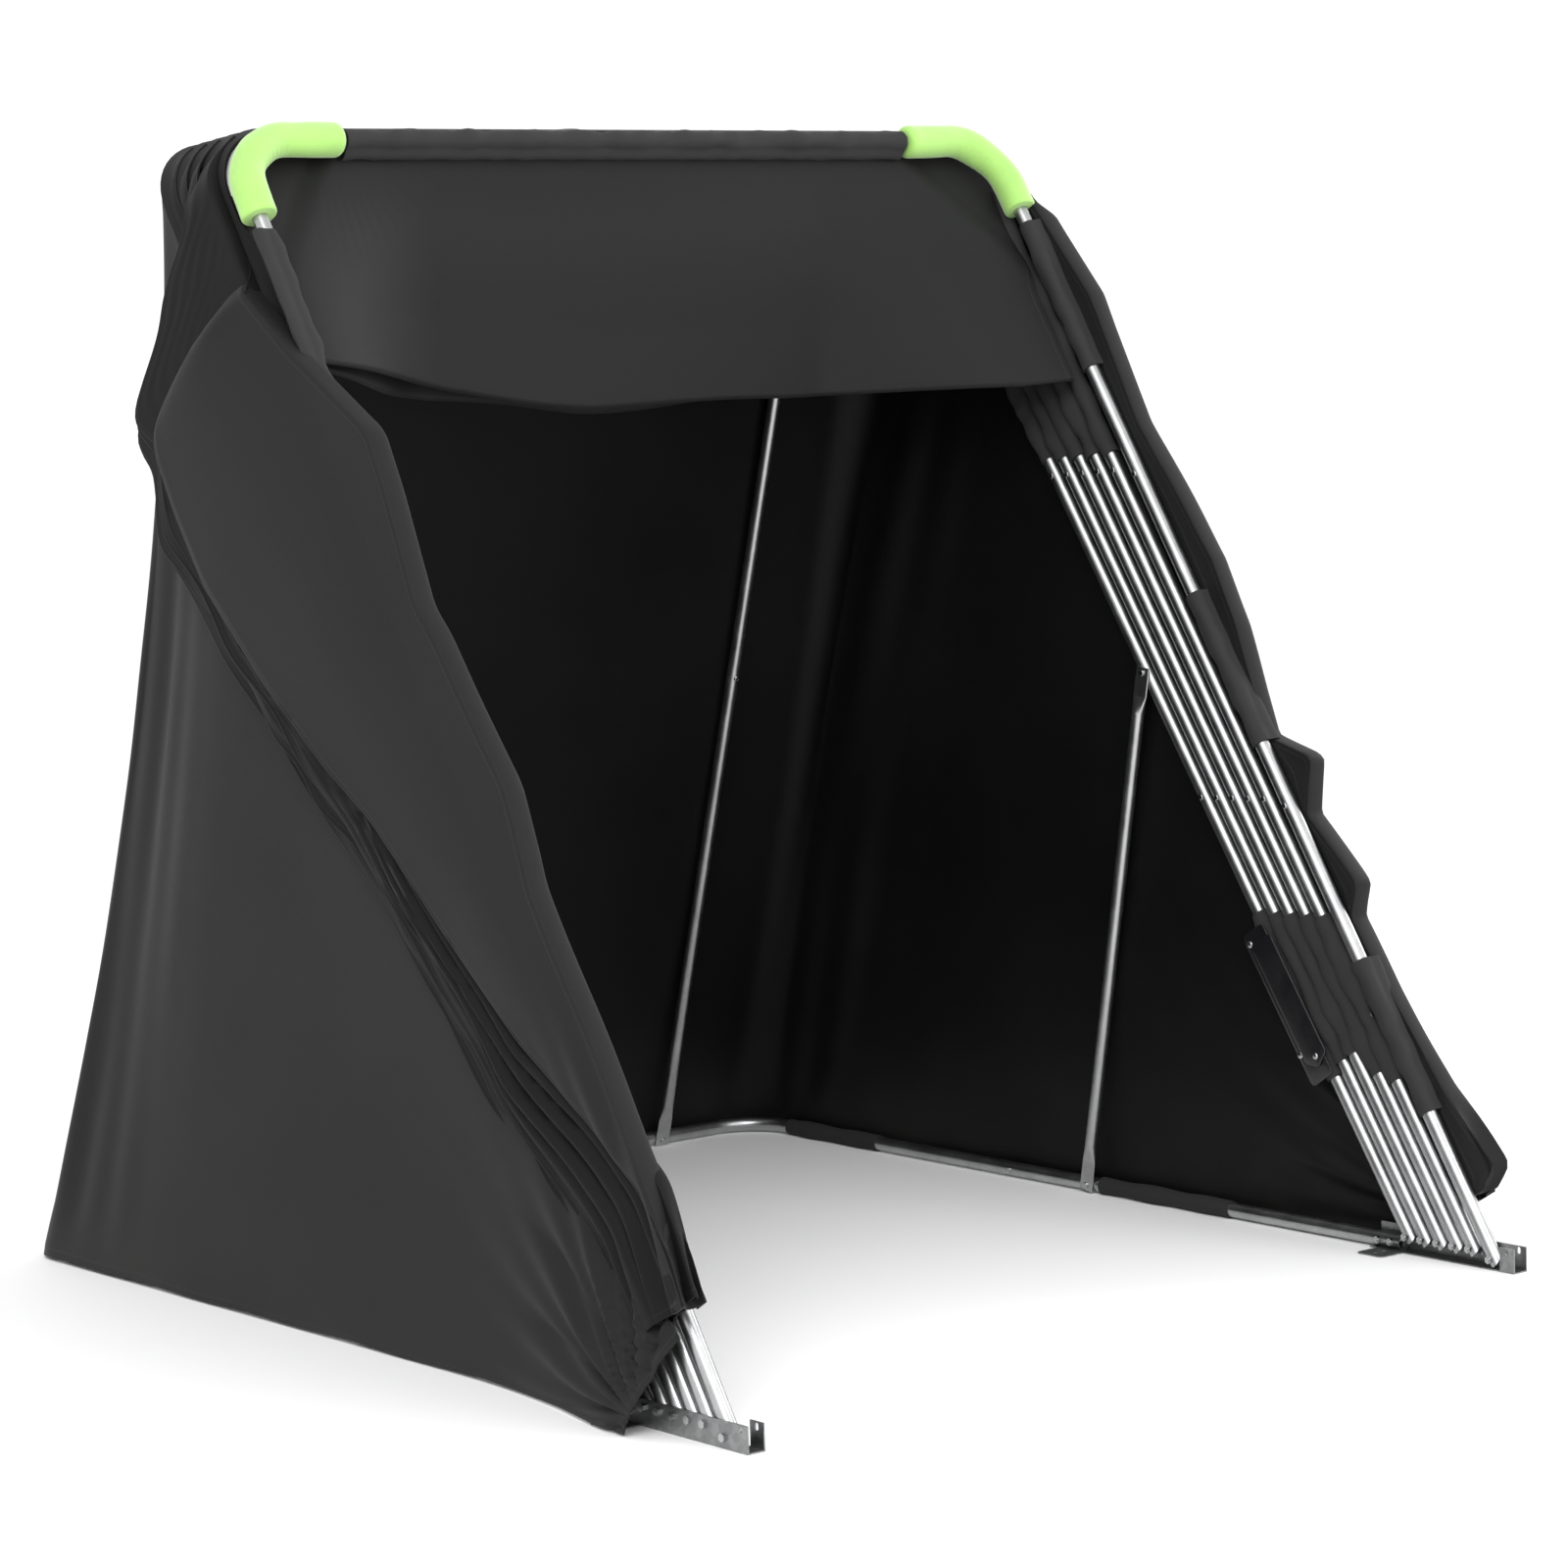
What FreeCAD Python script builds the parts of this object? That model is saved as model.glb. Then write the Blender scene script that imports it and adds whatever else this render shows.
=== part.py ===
import FreeCAD, Part

import math
import os

# Folding vehicle shelter: a fabric cover on six tube hoops that pivot on two ground brackets.
# Millimetres. X is the width (right is positive), Y runs to the rear, Z is up.
# The shelter is drawn folded back, which is its rest position: every hoop leans on the rear frame.
# Shapes are laid out from the front hoop's pivot and moved to the middle of the footprint on export.

# Tubes
TUBE_R = 11.0
WALL = 1.2
SPIGOT_R = TUBE_R - WALL - 0.1
SPIGOT_LENGTH = 40.0
BEND_R = 90.0
NOSE_R = 11.5

# Width, brackets and pivots
HALF_WIDTH = 685.0
PIVOT_PITCH = 30.0
FRONT_PITCH = 38.0
PIVOT_Z = 24.0
FRONT_PIVOT_Z = 14.0
SHEET = 2.0
BRACKET_FRONT = -46.0
BRACKET_REAR = 226.0
BRACKET_HEIGHT = 35.0
FLANGE_GAP = 0.5
LOCK_BOX_REAR = -20.0
LOCK_HOLE_Y = -33.0
LOCK_HOLE_Z = 28.5
LOCK_HOLE_R = 3.0
LOCK_SLOT_LENGTH = 10.0
FOOT_HALF = 58.0
FOOT_FRONT = 162.0
FOOT_REAR = 212.0
STAKE_HOLE_R = 3.5
STAKE_HOLES = (26.0, 44.0)

# Hoops: number 1 is fixed at the rear, number 6 is the front one
HOOPS = (1, 2, 3, 4, 5, 6)
LEG = 1880.0
FRONT_ANGLE = 58.1
HOOP_5_ANGLE = 57.7
ANGLE_STEP = 0.2
JOINT_LOW = 740.0
JOINT_HIGH = 1303.0
TOP_JOINT_X = 420.0

# Rear ground frame and braces
GROUND_Z = SHEET + TUBE_R
REAR_Y = 1640.0
GROUND_START = 172.5
GROUND_JOINT_Y = 1013.0
REAR_JOINT_X = 330.0
GROUND_BOLTS = (186.0, 211.0)
BRACE_R = 9.5
BRACE_TAB = 3.0
BRACE_FLAT = 36.0
BRACE_TAPER = 26.0
BRACE_END = 8.5
SIDE_BRACE_Y = 817.0
SIDE_BRACE_LEG = 936.0
REAR_BRACE_X = 478.0

# Fasteners
BOLT_R = 3.0
HOLE_R = 3.05
HEX_R = 5.77
HEAD_HEIGHT = 4.0
NUT_HEIGHT = 5.0
SCREW_R = 2.4
SCREW_HOLE_R = 2.5
SCREW_HEAD_R = 4.5
SCREW_HEAD_HEIGHT = 2.6
SCREW_BACK = 18.0

# Fabric and foam
SLEEVE = 1.5
GROUND_SLEEVE = 2.0
PAD_R = 24.5
PAD_LEG_START = 1755.0
PAD_BAR_END = 510.0
CLOTH = 2.0
WALL_INSIDE = 13.6
COVER_CORNER_R = 70.0
FOLD_X = 704.0
FOLD_STEP = 7.0
PLEAT_DEPTH = 345.0
PLEAT_HALF = 600.0
CAP_RISE = 14.0

X_AXIS = FreeCAD.Vector(1, 0, 0)


def vec(x, y, z):
    return FreeCAD.Vector(x, y, z)


def pivot(hoop):
    """Returns y and z of a hoop's pivot."""
    if hoop == 6:
        return 0.0, FRONT_PIVOT_Z
    return FRONT_PITCH + (5 - hoop) * PIVOT_PITCH, PIVOT_Z


def lean(hoop):
    """Returns a hoop's angle above the horizontal, towards the rear, in degrees."""
    if hoop == 6:
        return FRONT_ANGLE
    return HOOP_5_ANGLE - (5 - hoop) * ANGLE_STEP


def on_leg(hoop, along, behind=0.0):
    """Returns y and z of a point this far along a hoop's leg and this far behind it."""
    y0, z0 = pivot(hoop)
    angle = math.radians(lean(hoop))
    y = y0 + along * math.cos(angle) + behind * math.sin(angle)
    z = z0 + along * math.sin(angle) - behind * math.cos(angle)
    return y, z


def leg_point(hoop, x, along, behind=0.0):
    y, z = on_leg(hoop, along, behind)
    return vec(x, y, z)


def straight(start, end):
    return Part.Wire([Part.LineSegment(start, end).toShape()])


def bent(start, corner, end, radius):
    """Returns a path from start to end that turns at the corner with a tangent arc."""
    back = (start - corner).normalize()
    ahead = (end - corner).normalize()
    half = back.getAngle(ahead) / 2
    reach = radius / math.tan(half)
    middle = (back + ahead).normalize()
    first = corner + back * reach
    last = corner + ahead * reach
    crown = corner + middle * (radius / math.sin(half) - radius)
    edges = [
        Part.LineSegment(start, first).toShape(),
        Part.Arc(first, crown, last).toShape(),
        Part.LineSegment(last, end).toShape(),
    ]
    return Part.Wire(edges)


def swept(path, radius):
    """Sweeps a disc of this radius along a path."""
    first = path.Edges[0]
    start = first.valueAt(first.FirstParameter)
    rim = Part.makeCircle(radius, start, first.tangentAt(first.FirstParameter))
    return path.makePipe(Part.Face(Part.Wire([rim])))


def ring(path, outer, inner):
    """A hollow tube of these radii along a path."""
    return swept(path, outer).cut(swept(path, inner))


def rod(start, end, radius):
    span = end - start
    return Part.makeCylinder(radius, span.Length, start, span)


def tube(path):
    return ring(path, TUBE_R, TUBE_R - WALL)


def spigot(start, direction):
    """The reduced end of a tube, which slides into the tube before it."""
    back = start - direction * SPIGOT_LENGTH
    shoulder = start + direction * WALL
    neck = ring(straight(back, shoulder), SPIGOT_R, SPIGOT_R - WALL)
    collar = ring(straight(start, shoulder), TUBE_R, SPIGOT_R - WALL)
    return neck.fuse(collar)


def joined_tube(path, direction, start):
    """A tube with a spigot on its first end."""
    return tube(path).fuse(spigot(start, direction)).removeSplitter()


def block(x0, x1, y0, y1, z0, z1):
    return Part.makeBox(x1 - x0, y1 - y0, z1 - z0, vec(x0, y0, z0))


def profile(points, x0, x1):
    """A plate with this outline in the y-z plane, from x0 to x1."""
    corners = [vec(x0, y, z) for y, z in points]
    face = Part.Face(Part.makePolygon(corners + corners[:1]))
    return face.extrude(vec(x1 - x0, 0, 0))


def hexagon(start, direction, height):
    """A hexagonal prism along the x axis."""
    corners = []
    for k in range(6):
        turn = math.radians(60 * k + 30)
        corners.append(start + vec(0, HEX_R * math.cos(turn), HEX_R * math.sin(turn)))
    face = Part.Face(Part.makePolygon(corners + corners[:1]))
    return face.extrude(direction * height)


def mirrored(shape):
    return shape.mirror(vec(0, 0, 0), X_AXIS)


def pair(shape):
    """The left and right copies of a right-hand solid."""
    return [mirrored(shape), shape]


# --- brackets and their bolts -------------------------------------------------------------------

FLANGE_IN = HALF_WIDTH + TUBE_R + FLANGE_GAP
FLANGE_OUT = FLANGE_IN + SHEET
INNER_OUT = HALF_WIDTH - TUBE_R - FLANGE_GAP
INNER_IN = INNER_OUT - SHEET


def bolt_places():
    """Every bolt through a bracket, as y and z: six pivots, then two for the ground tube."""
    places = [pivot(hoop) for hoop in HOOPS]
    return places + [(y, GROUND_Z) for y in GROUND_BOLTS]


def lock_slot(x0, x1):
    """An upright slot cutter for a padlock's shackle."""
    half = LOCK_SLOT_LENGTH / 2 - LOCK_HOLE_R
    low, high = LOCK_HOLE_Z - half, LOCK_HOLE_Z + half
    cutter = block(x0, x1, LOCK_HOLE_Y - LOCK_HOLE_R, LOCK_HOLE_Y + LOCK_HOLE_R, low, high)
    for z in (low, high):
        cutter = cutter.fuse(rod(vec(x0, LOCK_HOLE_Y, z), vec(x1, LOCK_HOLE_Y, z), LOCK_HOLE_R))
    return cutter


def lock_hole(x0, x1):
    return rod(vec(x0, LOCK_HOLE_Y, LOCK_HOLE_Z), vec(x1, LOCK_HOLE_Y, LOCK_HOLE_Z), LOCK_HOLE_R)


def bracket(round_hole_outside):
    """A pressed sheet bracket: base, foot wings, outer flange, and a short inner flange in front."""
    shape = block(INNER_IN, FLANGE_OUT, BRACKET_FRONT, BRACKET_REAR, 0, SHEET)
    wings = block(HALF_WIDTH - FOOT_HALF, HALF_WIDTH + FOOT_HALF, FOOT_FRONT, FOOT_REAR, 0, SHEET)
    corners = [edge for edge in wings.Edges if abs(edge.tangentAt(0).z) > 0.9]
    shape = shape.fuse(wings.makeFillet(8, corners))
    outer = block(FLANGE_IN, FLANGE_OUT, BRACKET_FRONT, BRACKET_REAR, SHEET, BRACKET_HEIGHT)
    inner = block(INNER_IN, INNER_OUT, BRACKET_FRONT, LOCK_BOX_REAR, SHEET, BRACKET_HEIGHT)
    shape = shape.fuse(outer).fuse(inner).removeSplitter()
    for y, z in bolt_places():
        shape = shape.cut(rod(vec(FLANGE_IN - 1, y, z), vec(FLANGE_OUT + 1, y, z), HOLE_R))
    outer_span = (FLANGE_IN - 1, FLANGE_OUT + 1)
    inner_span = (INNER_IN - 1, INNER_OUT + 1)
    hole_span = outer_span if round_hole_outside else inner_span
    slot_span = inner_span if round_hole_outside else outer_span
    shape = shape.cut(lock_hole(*hole_span)).cut(lock_slot(*slot_span))
    middle_y = (FOOT_FRONT + FOOT_REAR) / 2
    for offset in STAKE_HOLES:
        for x in (HALF_WIDTH - offset, HALF_WIDTH + offset):
            shape = shape.cut(rod(vec(x, middle_y, -1), vec(x, middle_y, SHEET + 1), STAKE_HOLE_R))
    return shape


def bracket_bolt(y, z):
    """A hexagon-head bolt from outside the flange, through the tube."""
    seat = FLANGE_OUT + 0.1
    head = hexagon(vec(seat, y, z), X_AXIS, HEAD_HEIGHT)
    return head.fuse(rod(vec(seat + 1, y, z), vec(INNER_OUT - NUT_HEIGHT - 1.5, y, z), BOLT_R))


def bracket_nut(y, z):
    start = vec(INNER_OUT, y, z)
    nut = hexagon(start, vec(-1, 0, 0), NUT_HEIGHT)
    return nut.cut(rod(vec(INNER_OUT + 1, y, z), vec(INNER_OUT - NUT_HEIGHT - 1, y, z), HOLE_R))


# --- hoops --------------------------------------------------------------------------------------

def screw_hole(hoop, joint, drill):
    """A cutter or a shank through a leg's inner wall, just below a tube joint."""
    inside = HALF_WIDTH - TUBE_R - 1
    y, z = on_leg(hoop, joint - SCREW_BACK)
    return rod(vec(inside, y, z), vec(inside + 6, y, z), drill)


def lower_leg(hoop):
    """The leg's first tube: round nosed about the pivot, with the bolt hole across it."""
    y, z = pivot(hoop)
    left, right = HALF_WIDTH - 2 * TUBE_R, HALF_WIDTH + 2 * TUBE_R
    path = straight(leg_point(hoop, HALF_WIDTH, -NOSE_R - 1), leg_point(hoop, HALF_WIDTH, JOINT_LOW))
    behind = rod(leg_point(hoop, HALF_WIDTH, -2 * NOSE_R), leg_point(hoop, HALF_WIDTH, 0), 2 * TUBE_R)
    waste = behind.cut(rod(vec(left, y, z), vec(right, y, z), NOSE_R))
    shape = tube(path).cut(waste).cut(rod(vec(left, y, z), vec(right, y, z), HOLE_R))
    return shape.cut(screw_hole(hoop, JOINT_LOW, SCREW_HOLE_R))


def middle_leg(hoop):
    start = leg_point(hoop, HALF_WIDTH, JOINT_LOW)
    end = leg_point(hoop, HALF_WIDTH, JOINT_HIGH)
    shape = joined_tube(straight(start, end), (end - start).normalize(), start)
    shape = shape.cut(screw_hole(hoop, JOINT_LOW, SCREW_HOLE_R))
    if hoop == 1:
        shape = shape.cut(side_brace_drill(SCREW_HOLE_R))
    return shape.cut(screw_hole(hoop, JOINT_HIGH, SCREW_HOLE_R))


def corner_path(hoop, leg_from, bar_to):
    start = leg_point(hoop, HALF_WIDTH, leg_from)
    corner = leg_point(hoop, HALF_WIDTH, LEG)
    return bent(start, corner, vec(bar_to, corner.y, corner.z), BEND_R)


def corner_tube(hoop):
    path = corner_path(hoop, JOINT_HIGH, TOP_JOINT_X)
    start = leg_point(hoop, HALF_WIDTH, JOINT_HIGH)
    direction = (leg_point(hoop, HALF_WIDTH, LEG) - start).normalize()
    shape = joined_tube(path, direction, start)
    if hoop == 1:
        shape = shape.cut(rear_brace_drill(SCREW_HOLE_R, 1))
    return shape.cut(screw_hole(hoop, JOINT_HIGH, SCREW_HOLE_R))


def top_tube(hoop):
    """The middle of the top bar, with a spigot at each end."""
    y, z = on_leg(hoop, LEG)
    left, right = vec(-TOP_JOINT_X, y, z), vec(TOP_JOINT_X, y, z)
    shape = tube(straight(left, right))
    return shape.fuse(spigot(left, X_AXIS)).fuse(spigot(right, X_AXIS * -1)).removeSplitter()


def pan_screw(seat, direction, length):
    """A pan-head screw whose head stands back from its seat, with the shank ahead."""
    head = rod(seat - direction * SCREW_HEAD_HEIGHT, seat, SCREW_HEAD_R)
    rims = [edge for edge in head.Edges if isinstance(edge.Curve, Part.Circle)]
    crown = max(rims, key=lambda edge: (edge.CenterOfMass - seat).Length)
    head = head.makeFillet(1.2, [crown])
    return head.fuse(rod(seat - direction, seat + direction * length, SCREW_R))


def hoop_screws(hoop):
    """Two screws in each leg, seen from inside the shelter."""
    solids = []
    for joint in (JOINT_LOW, JOINT_HIGH):
        y, z = on_leg(hoop, joint - SCREW_BACK)
        solids += pair(pan_screw(vec(HALF_WIDTH - TUBE_R - 0.1, y, z), X_AXIS, 4.5))
    return solids


def leg_sleeves(hoop):
    """Start and end of each cloth sleeve on a leg, measured from the pivot."""
    if hoop == 6:
        return ((294.0, 470.0), (824.0, 1076.0), (1470.0, 1729.0))
    return ((335.0, 590.0), (1395.0, 1780.0))


def top_sleeve_end(hoop):
    """Half the length of the sleeve on the top bar."""
    if hoop == 6:
        return PAD_BAR_END - 6
    return 440.0 if hoop == 1 else 580.0


def hoop_sleeves(hoop):
    outer, inner = TUBE_R + 0.1 + SLEEVE, TUBE_R + 0.1
    solids = []
    for start, end in leg_sleeves(hoop):
        path = straight(leg_point(hoop, HALF_WIDTH, start), leg_point(hoop, HALF_WIDTH, end))
        solids += pair(ring(path, outer, inner))
    y, z = on_leg(hoop, LEG)
    half = top_sleeve_end(hoop)
    solids.append(ring(straight(vec(-half, y, z), vec(half, y, z)), outer, inner))
    return solids


def corner_pad():
    """The foam tube on the front hoop's corner."""
    return ring(corner_path(6, PAD_LEG_START, PAD_BAR_END), PAD_R, TUBE_R + 0.2)


# --- ground frame and braces --------------------------------------------------------------------

def ground_front_tube():
    start = vec(HALF_WIDTH, GROUND_START, GROUND_Z)
    shape = tube(straight(start, vec(HALF_WIDTH, GROUND_JOINT_Y, GROUND_Z)))
    for y in GROUND_BOLTS:
        shape = shape.cut(rod(vec(HALF_WIDTH - 20, y, GROUND_Z), vec(HALF_WIDTH + 20, y, GROUND_Z), HOLE_R))
    shape = shape.cut(side_brace_drill(SCREW_HOLE_R, low=True))
    return shape.cut(ground_joint_drill(SCREW_HOLE_R))


def ground_joint_drill(radius):
    y = GROUND_JOINT_Y - SCREW_BACK
    inside = HALF_WIDTH - TUBE_R - 1
    return rod(vec(inside, y, GROUND_Z), vec(inside + 6, y, GROUND_Z), radius)


def ground_corner_tube():
    start = vec(HALF_WIDTH, GROUND_JOINT_Y, GROUND_Z)
    path = bent(start, vec(HALF_WIDTH, REAR_Y, GROUND_Z), vec(REAR_JOINT_X, REAR_Y, GROUND_Z), BEND_R)
    shape = joined_tube(path, vec(0, 1, 0), start)
    shape = shape.cut(rear_brace_drill(SCREW_HOLE_R, 0))
    return shape.cut(ground_joint_drill(SCREW_HOLE_R))


def ground_rear_tube():
    left, right = vec(-REAR_JOINT_X, REAR_Y, GROUND_Z), vec(REAR_JOINT_X, REAR_Y, GROUND_Z)
    shape = tube(straight(left, right))
    return shape.fuse(spigot(left, X_AXIS)).fuse(spigot(right, X_AXIS * -1)).removeSplitter()


def frame_lines():
    """Returns the ends of the side brace and of the rear brace, on the tubes' centre lines."""
    side = (vec(HALF_WIDTH, SIDE_BRACE_Y, GROUND_Z), leg_point(1, HALF_WIDTH, SIDE_BRACE_LEG))
    bar_y, bar_z = on_leg(1, LEG)
    rear = (vec(REAR_BRACE_X, REAR_Y, GROUND_Z), vec(REAR_BRACE_X, bar_y, bar_z))
    return side, rear


def inward(line):
    """The way from the tubes to the brace that lies on them: into the shelter."""
    start, end = line
    if abs(start.x - HALF_WIDTH) < 1:
        return vec(-1, 0, 0)
    along = (end - start).normalize()
    return along.cross(vec(-1, 0, 0)).normalize()


def side_brace_drill(radius, low=False):
    side, _ = frame_lines()
    place = side[0] if low else side[1]
    return rod(place + inward(side) * (TUBE_R + 6), place + inward(side) * (TUBE_R - 5), radius)


def rear_brace_drill(radius, end):
    _, rear = frame_lines()
    return rod(rear[end] + inward(rear) * (TUBE_R + 6), rear[end] + inward(rear) * (TUBE_R - 5), radius)


def stadium(centre, wide, thin, half_width, half_thickness):
    """A closed wire: a flat slot shape across the axis, as four matching edges."""
    run = wide * (half_width - half_thickness)
    tall = thin * half_thickness
    a, b, c, d = (centre + run + tall, centre - run + tall, centre - run - tall, centre + run - tall)
    cap = wide * half_width
    edges = [
        Part.LineSegment(a, b).toShape(),
        Part.Arc(b, centre - cap, c).toShape(),
        Part.LineSegment(c, d).toShape(),
        Part.Arc(d, centre + cap, a).toShape(),
    ]
    return Part.Wire(edges)


def quartered_circle(centre, wide, thin, radius):
    """A circle as four arcs that match the edges of a slot shape."""
    def at(degrees):
        turn = math.radians(degrees)
        return centre + wide * (radius * math.cos(turn)) + thin * (radius * math.sin(turn))

    edges = []
    for start, end in ((45, 135), (135, 225), (225, 315), (315, 405)):
        edges.append(Part.Arc(at(start), at((start + end) / 2), at(end)).toShape())
    return Part.Wire(edges)


def brace_end(place, along, normal):
    """A flattened tube end: a drilled tab that lies on the frame, and the taper up to the tube."""
    wide = along.cross(normal).normalize()
    centre = place + normal * (TUBE_R + 0.1 + BRACE_TAB / 2)
    half_width = BRACE_R * math.pi / 2 - BRACE_TAB / 2
    flat_wire = stadium(centre - along * BRACE_END, wide, normal, half_width, BRACE_TAB / 2)
    tab = Part.Face(flat_wire).extrude(along * (BRACE_END + BRACE_FLAT))
    low = stadium(centre + along * BRACE_FLAT, wide, normal, half_width, BRACE_TAB / 2)
    high = quartered_circle(centre + along * (BRACE_FLAT + BRACE_TAPER), wide, normal, BRACE_R)
    taper = Part.makeLoft([low, high], True)
    drill = rod(place, place + normal * (TUBE_R + BRACE_TAB + 5), SCREW_HOLE_R)
    return tab.fuse(taper).cut(drill)


def brace(line, pieces):
    """A straight brace with two flattened ends; in two pieces it has a spigot joint halfway."""
    start, end = line
    along = (end - start).normalize()
    normal = inward(line)
    shift = normal * (TUBE_R + 0.1 + BRACE_TAB / 2)
    low = start + shift + along * (BRACE_FLAT + BRACE_TAPER)
    high = end + shift - along * (BRACE_FLAT + BRACE_TAPER)
    foot = brace_end(start, along, normal)
    head = brace_end(end, along * -1, normal)
    inner = BRACE_R - WALL
    if pieces == 1:
        return [ring(straight(low, high), BRACE_R, inner).fuse(foot).fuse(head)]
    middle = (low + high) * 0.5
    lower = ring(straight(low, middle), BRACE_R, inner).fuse(foot)
    neck_end = middle - along * SPIGOT_LENGTH
    neck = ring(straight(neck_end, middle + along * WALL), inner - 0.1, inner - 0.1 - WALL)
    collar = ring(straight(middle, middle + along * WALL), BRACE_R, inner - 0.1 - WALL)
    upper = ring(straight(middle, high), BRACE_R, inner).fuse(neck).fuse(collar).fuse(head)
    drill_at = middle - along * SCREW_BACK
    drill = rod(drill_at + normal * (BRACE_R + 1), drill_at + normal * (BRACE_R - 4), SCREW_HOLE_R)
    return [lower.cut(drill), upper.cut(drill)]


def brace_screws():
    """The screws that hold the brace ends, and the one in each rear brace's joint."""
    side, rear = frame_lines()
    solids = []
    for line in (side, rear):
        normal = inward(line)
        for place in line:
            seat = place + normal * (TUBE_R + BRACE_TAB + 0.2)
            solids += pair(pan_screw(seat, normal * -1, BRACE_TAB + 4))
    start, end = rear
    along = (end - start).normalize()
    normal = inward(rear)
    middle = (start + end) * 0.5 + normal * (TUBE_R + 0.1 + BRACE_TAB / 2)
    seat = middle - along * SCREW_BACK + normal * (BRACE_R + 0.1)
    return solids + pair(pan_screw(seat, normal * -1, 3.5))


def ground_screws():
    seat = vec(HALF_WIDTH - TUBE_R - 0.1, GROUND_JOINT_Y - SCREW_BACK, GROUND_Z)
    return pair(pan_screw(seat, X_AXIS, 4.5))


def ground_sleeves():
    """Cloth sleeves that tie the cover's hem to the ground tubes, and rest on the ground."""
    outer, inner = TUBE_R + GROUND_SLEEVE, TUBE_R + 0.1
    solids = []
    for y0, y1 in ((516.0, 791.0), (1321.0, 1545.0)):
        path = straight(vec(HALF_WIDTH, y0, GROUND_Z), vec(HALF_WIDTH, y1, GROUND_Z))
        solids += pair(ring(path, outer, inner))
    path = straight(vec(-260, REAR_Y, GROUND_Z), vec(260, REAR_Y, GROUND_Z))
    return solids + [ring(path, outer, inner)]


# --- cover --------------------------------------------------------------------------------------

def sheared_block(grow):
    """The space under the rear cover: a round-cornered footprint that slopes with the rear wall."""
    half = HALF_WIDTH + WALL_INSIDE + grow
    corner = COVER_CORNER_R + grow
    bar_y, bar_z = on_leg(1, LEG)
    slope = (REAR_Y - bar_y) / (bar_z - GROUND_Z)
    offset = (WALL_INSIDE + grow) * math.sqrt(1 + slope * slope)
    low, high = -grow * 40, bar_z + 200
    rear = REAR_Y + offset + slope * (GROUND_Z - low)
    left, right = -half, half
    front = -200
    diagonal = corner * (1 - math.sqrt(0.5))
    edges = [
        Part.LineSegment(vec(left, front, low), vec(right, front, low)).toShape(),
        Part.LineSegment(vec(right, front, low), vec(right, rear - corner, low)).toShape(),
        Part.Arc(vec(right, rear - corner, low), vec(right - diagonal, rear - diagonal, low),
                 vec(right - corner, rear, low)).toShape(),
        Part.LineSegment(vec(right - corner, rear, low), vec(left + corner, rear, low)).toShape(),
        Part.Arc(vec(left + corner, rear, low), vec(left + diagonal, rear - diagonal, low),
                 vec(left, rear - corner, low)).toShape(),
        Part.LineSegment(vec(left, rear - corner, low), vec(left, front, low)).toShape(),
    ]
    return Part.Face(Part.Wire(edges)).extrude(vec(0, -slope * (high - low), high - low))


def arch_tunnel(grow):
    """The space under the rear hoop's outline, carried straight back from its plane."""
    half = HALF_WIDTH + WALL_INSIDE + grow
    corner = BEND_R + WALL_INSIDE + grow
    top = LEG + WALL_INSIDE + grow
    diagonal = corner * (1 - math.sqrt(0.5))
    start = -400

    def at(x, along):
        return leg_point(1, x, along, behind=-grow)

    edges = [
        Part.LineSegment(at(-half, start), at(half, start)).toShape(),
        Part.LineSegment(at(half, start), at(half, top - corner)).toShape(),
        Part.Arc(at(half, top - corner), at(half - diagonal, top - diagonal),
                 at(half - corner, top)).toShape(),
        Part.LineSegment(at(half - corner, top), at(corner - half, top)).toShape(),
        Part.Arc(at(corner - half, top), at(diagonal - half, top - diagonal),
                 at(-half, top - corner)).toShape(),
        Part.LineSegment(at(-half, top - corner), at(-half, start)).toShape(),
    ]
    angle = math.radians(lean(1))
    return Part.Face(Part.Wire(edges)).extrude(vec(0, math.sin(angle), -math.cos(angle)) * 2600)


def cover_shell():
    """The fixed part of the cover: one cloth-thick shell behind the rear hoop, open below."""
    outer = sheared_block(CLOTH).common(arch_tunnel(CLOTH))
    inner = sheared_block(0).common(arch_tunnel(0).fuse(leading_slab()))
    shell = outer.cut(inner)
    hem = 3.0
    start = BRACKET_REAR + 6
    shell = shell.cut(block(-900, 900, -900, 2900, -900, hem))
    return shell.cut(block(-900, 900, -900, start, -900, 900))


def leading_slab():
    """Opens the shell's front over its whole thickness, in the plane of the rear hoop."""
    half = HALF_WIDTH + WALL_INSIDE
    y0, z0 = pivot(1)
    angle = math.radians(lean(1))
    slab = block(-half, half, -4 * CLOTH, 4 * CLOTH, -400, LEG + WALL_INSIDE)
    slab.rotate(vec(0, 0, 0), X_AXIS, math.degrees(angle) - 90)
    slab.translate(vec(0, y0, z0))
    return slab


def cover_piece(shell, x0, x1):
    return shell.common(block(x0, x1, -900, 2900, -900, 2900))


def fold_x(hoop):
    """How far out a hoop's side folds lie; the front hoop's are outermost."""
    return FOLD_X + (hoop - 2) * FOLD_STEP


def fold_outline(hoop, cap_z):
    """The outline of the cloth that hangs folded between a hoop and the one behind it."""
    y_front = on_leg(hoop, LEG)[0] + (26 if hoop == 6 else 6)
    y_rear = on_leg(hoop - 1, LEG)[0] + 2
    flap = 80 if hoop == 6 else 14
    leg_frame = ((1700, 34), (1610, 330), (300, 40), (130, 20), (130, -14), (260, -flap),
                 (1250, -flap), (1690, -14))
    outline = [(y_front, cap_z), (y_rear, cap_z)]
    return outline + [on_leg(hoop, along, behind) for along, behind in leg_frame]


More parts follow.
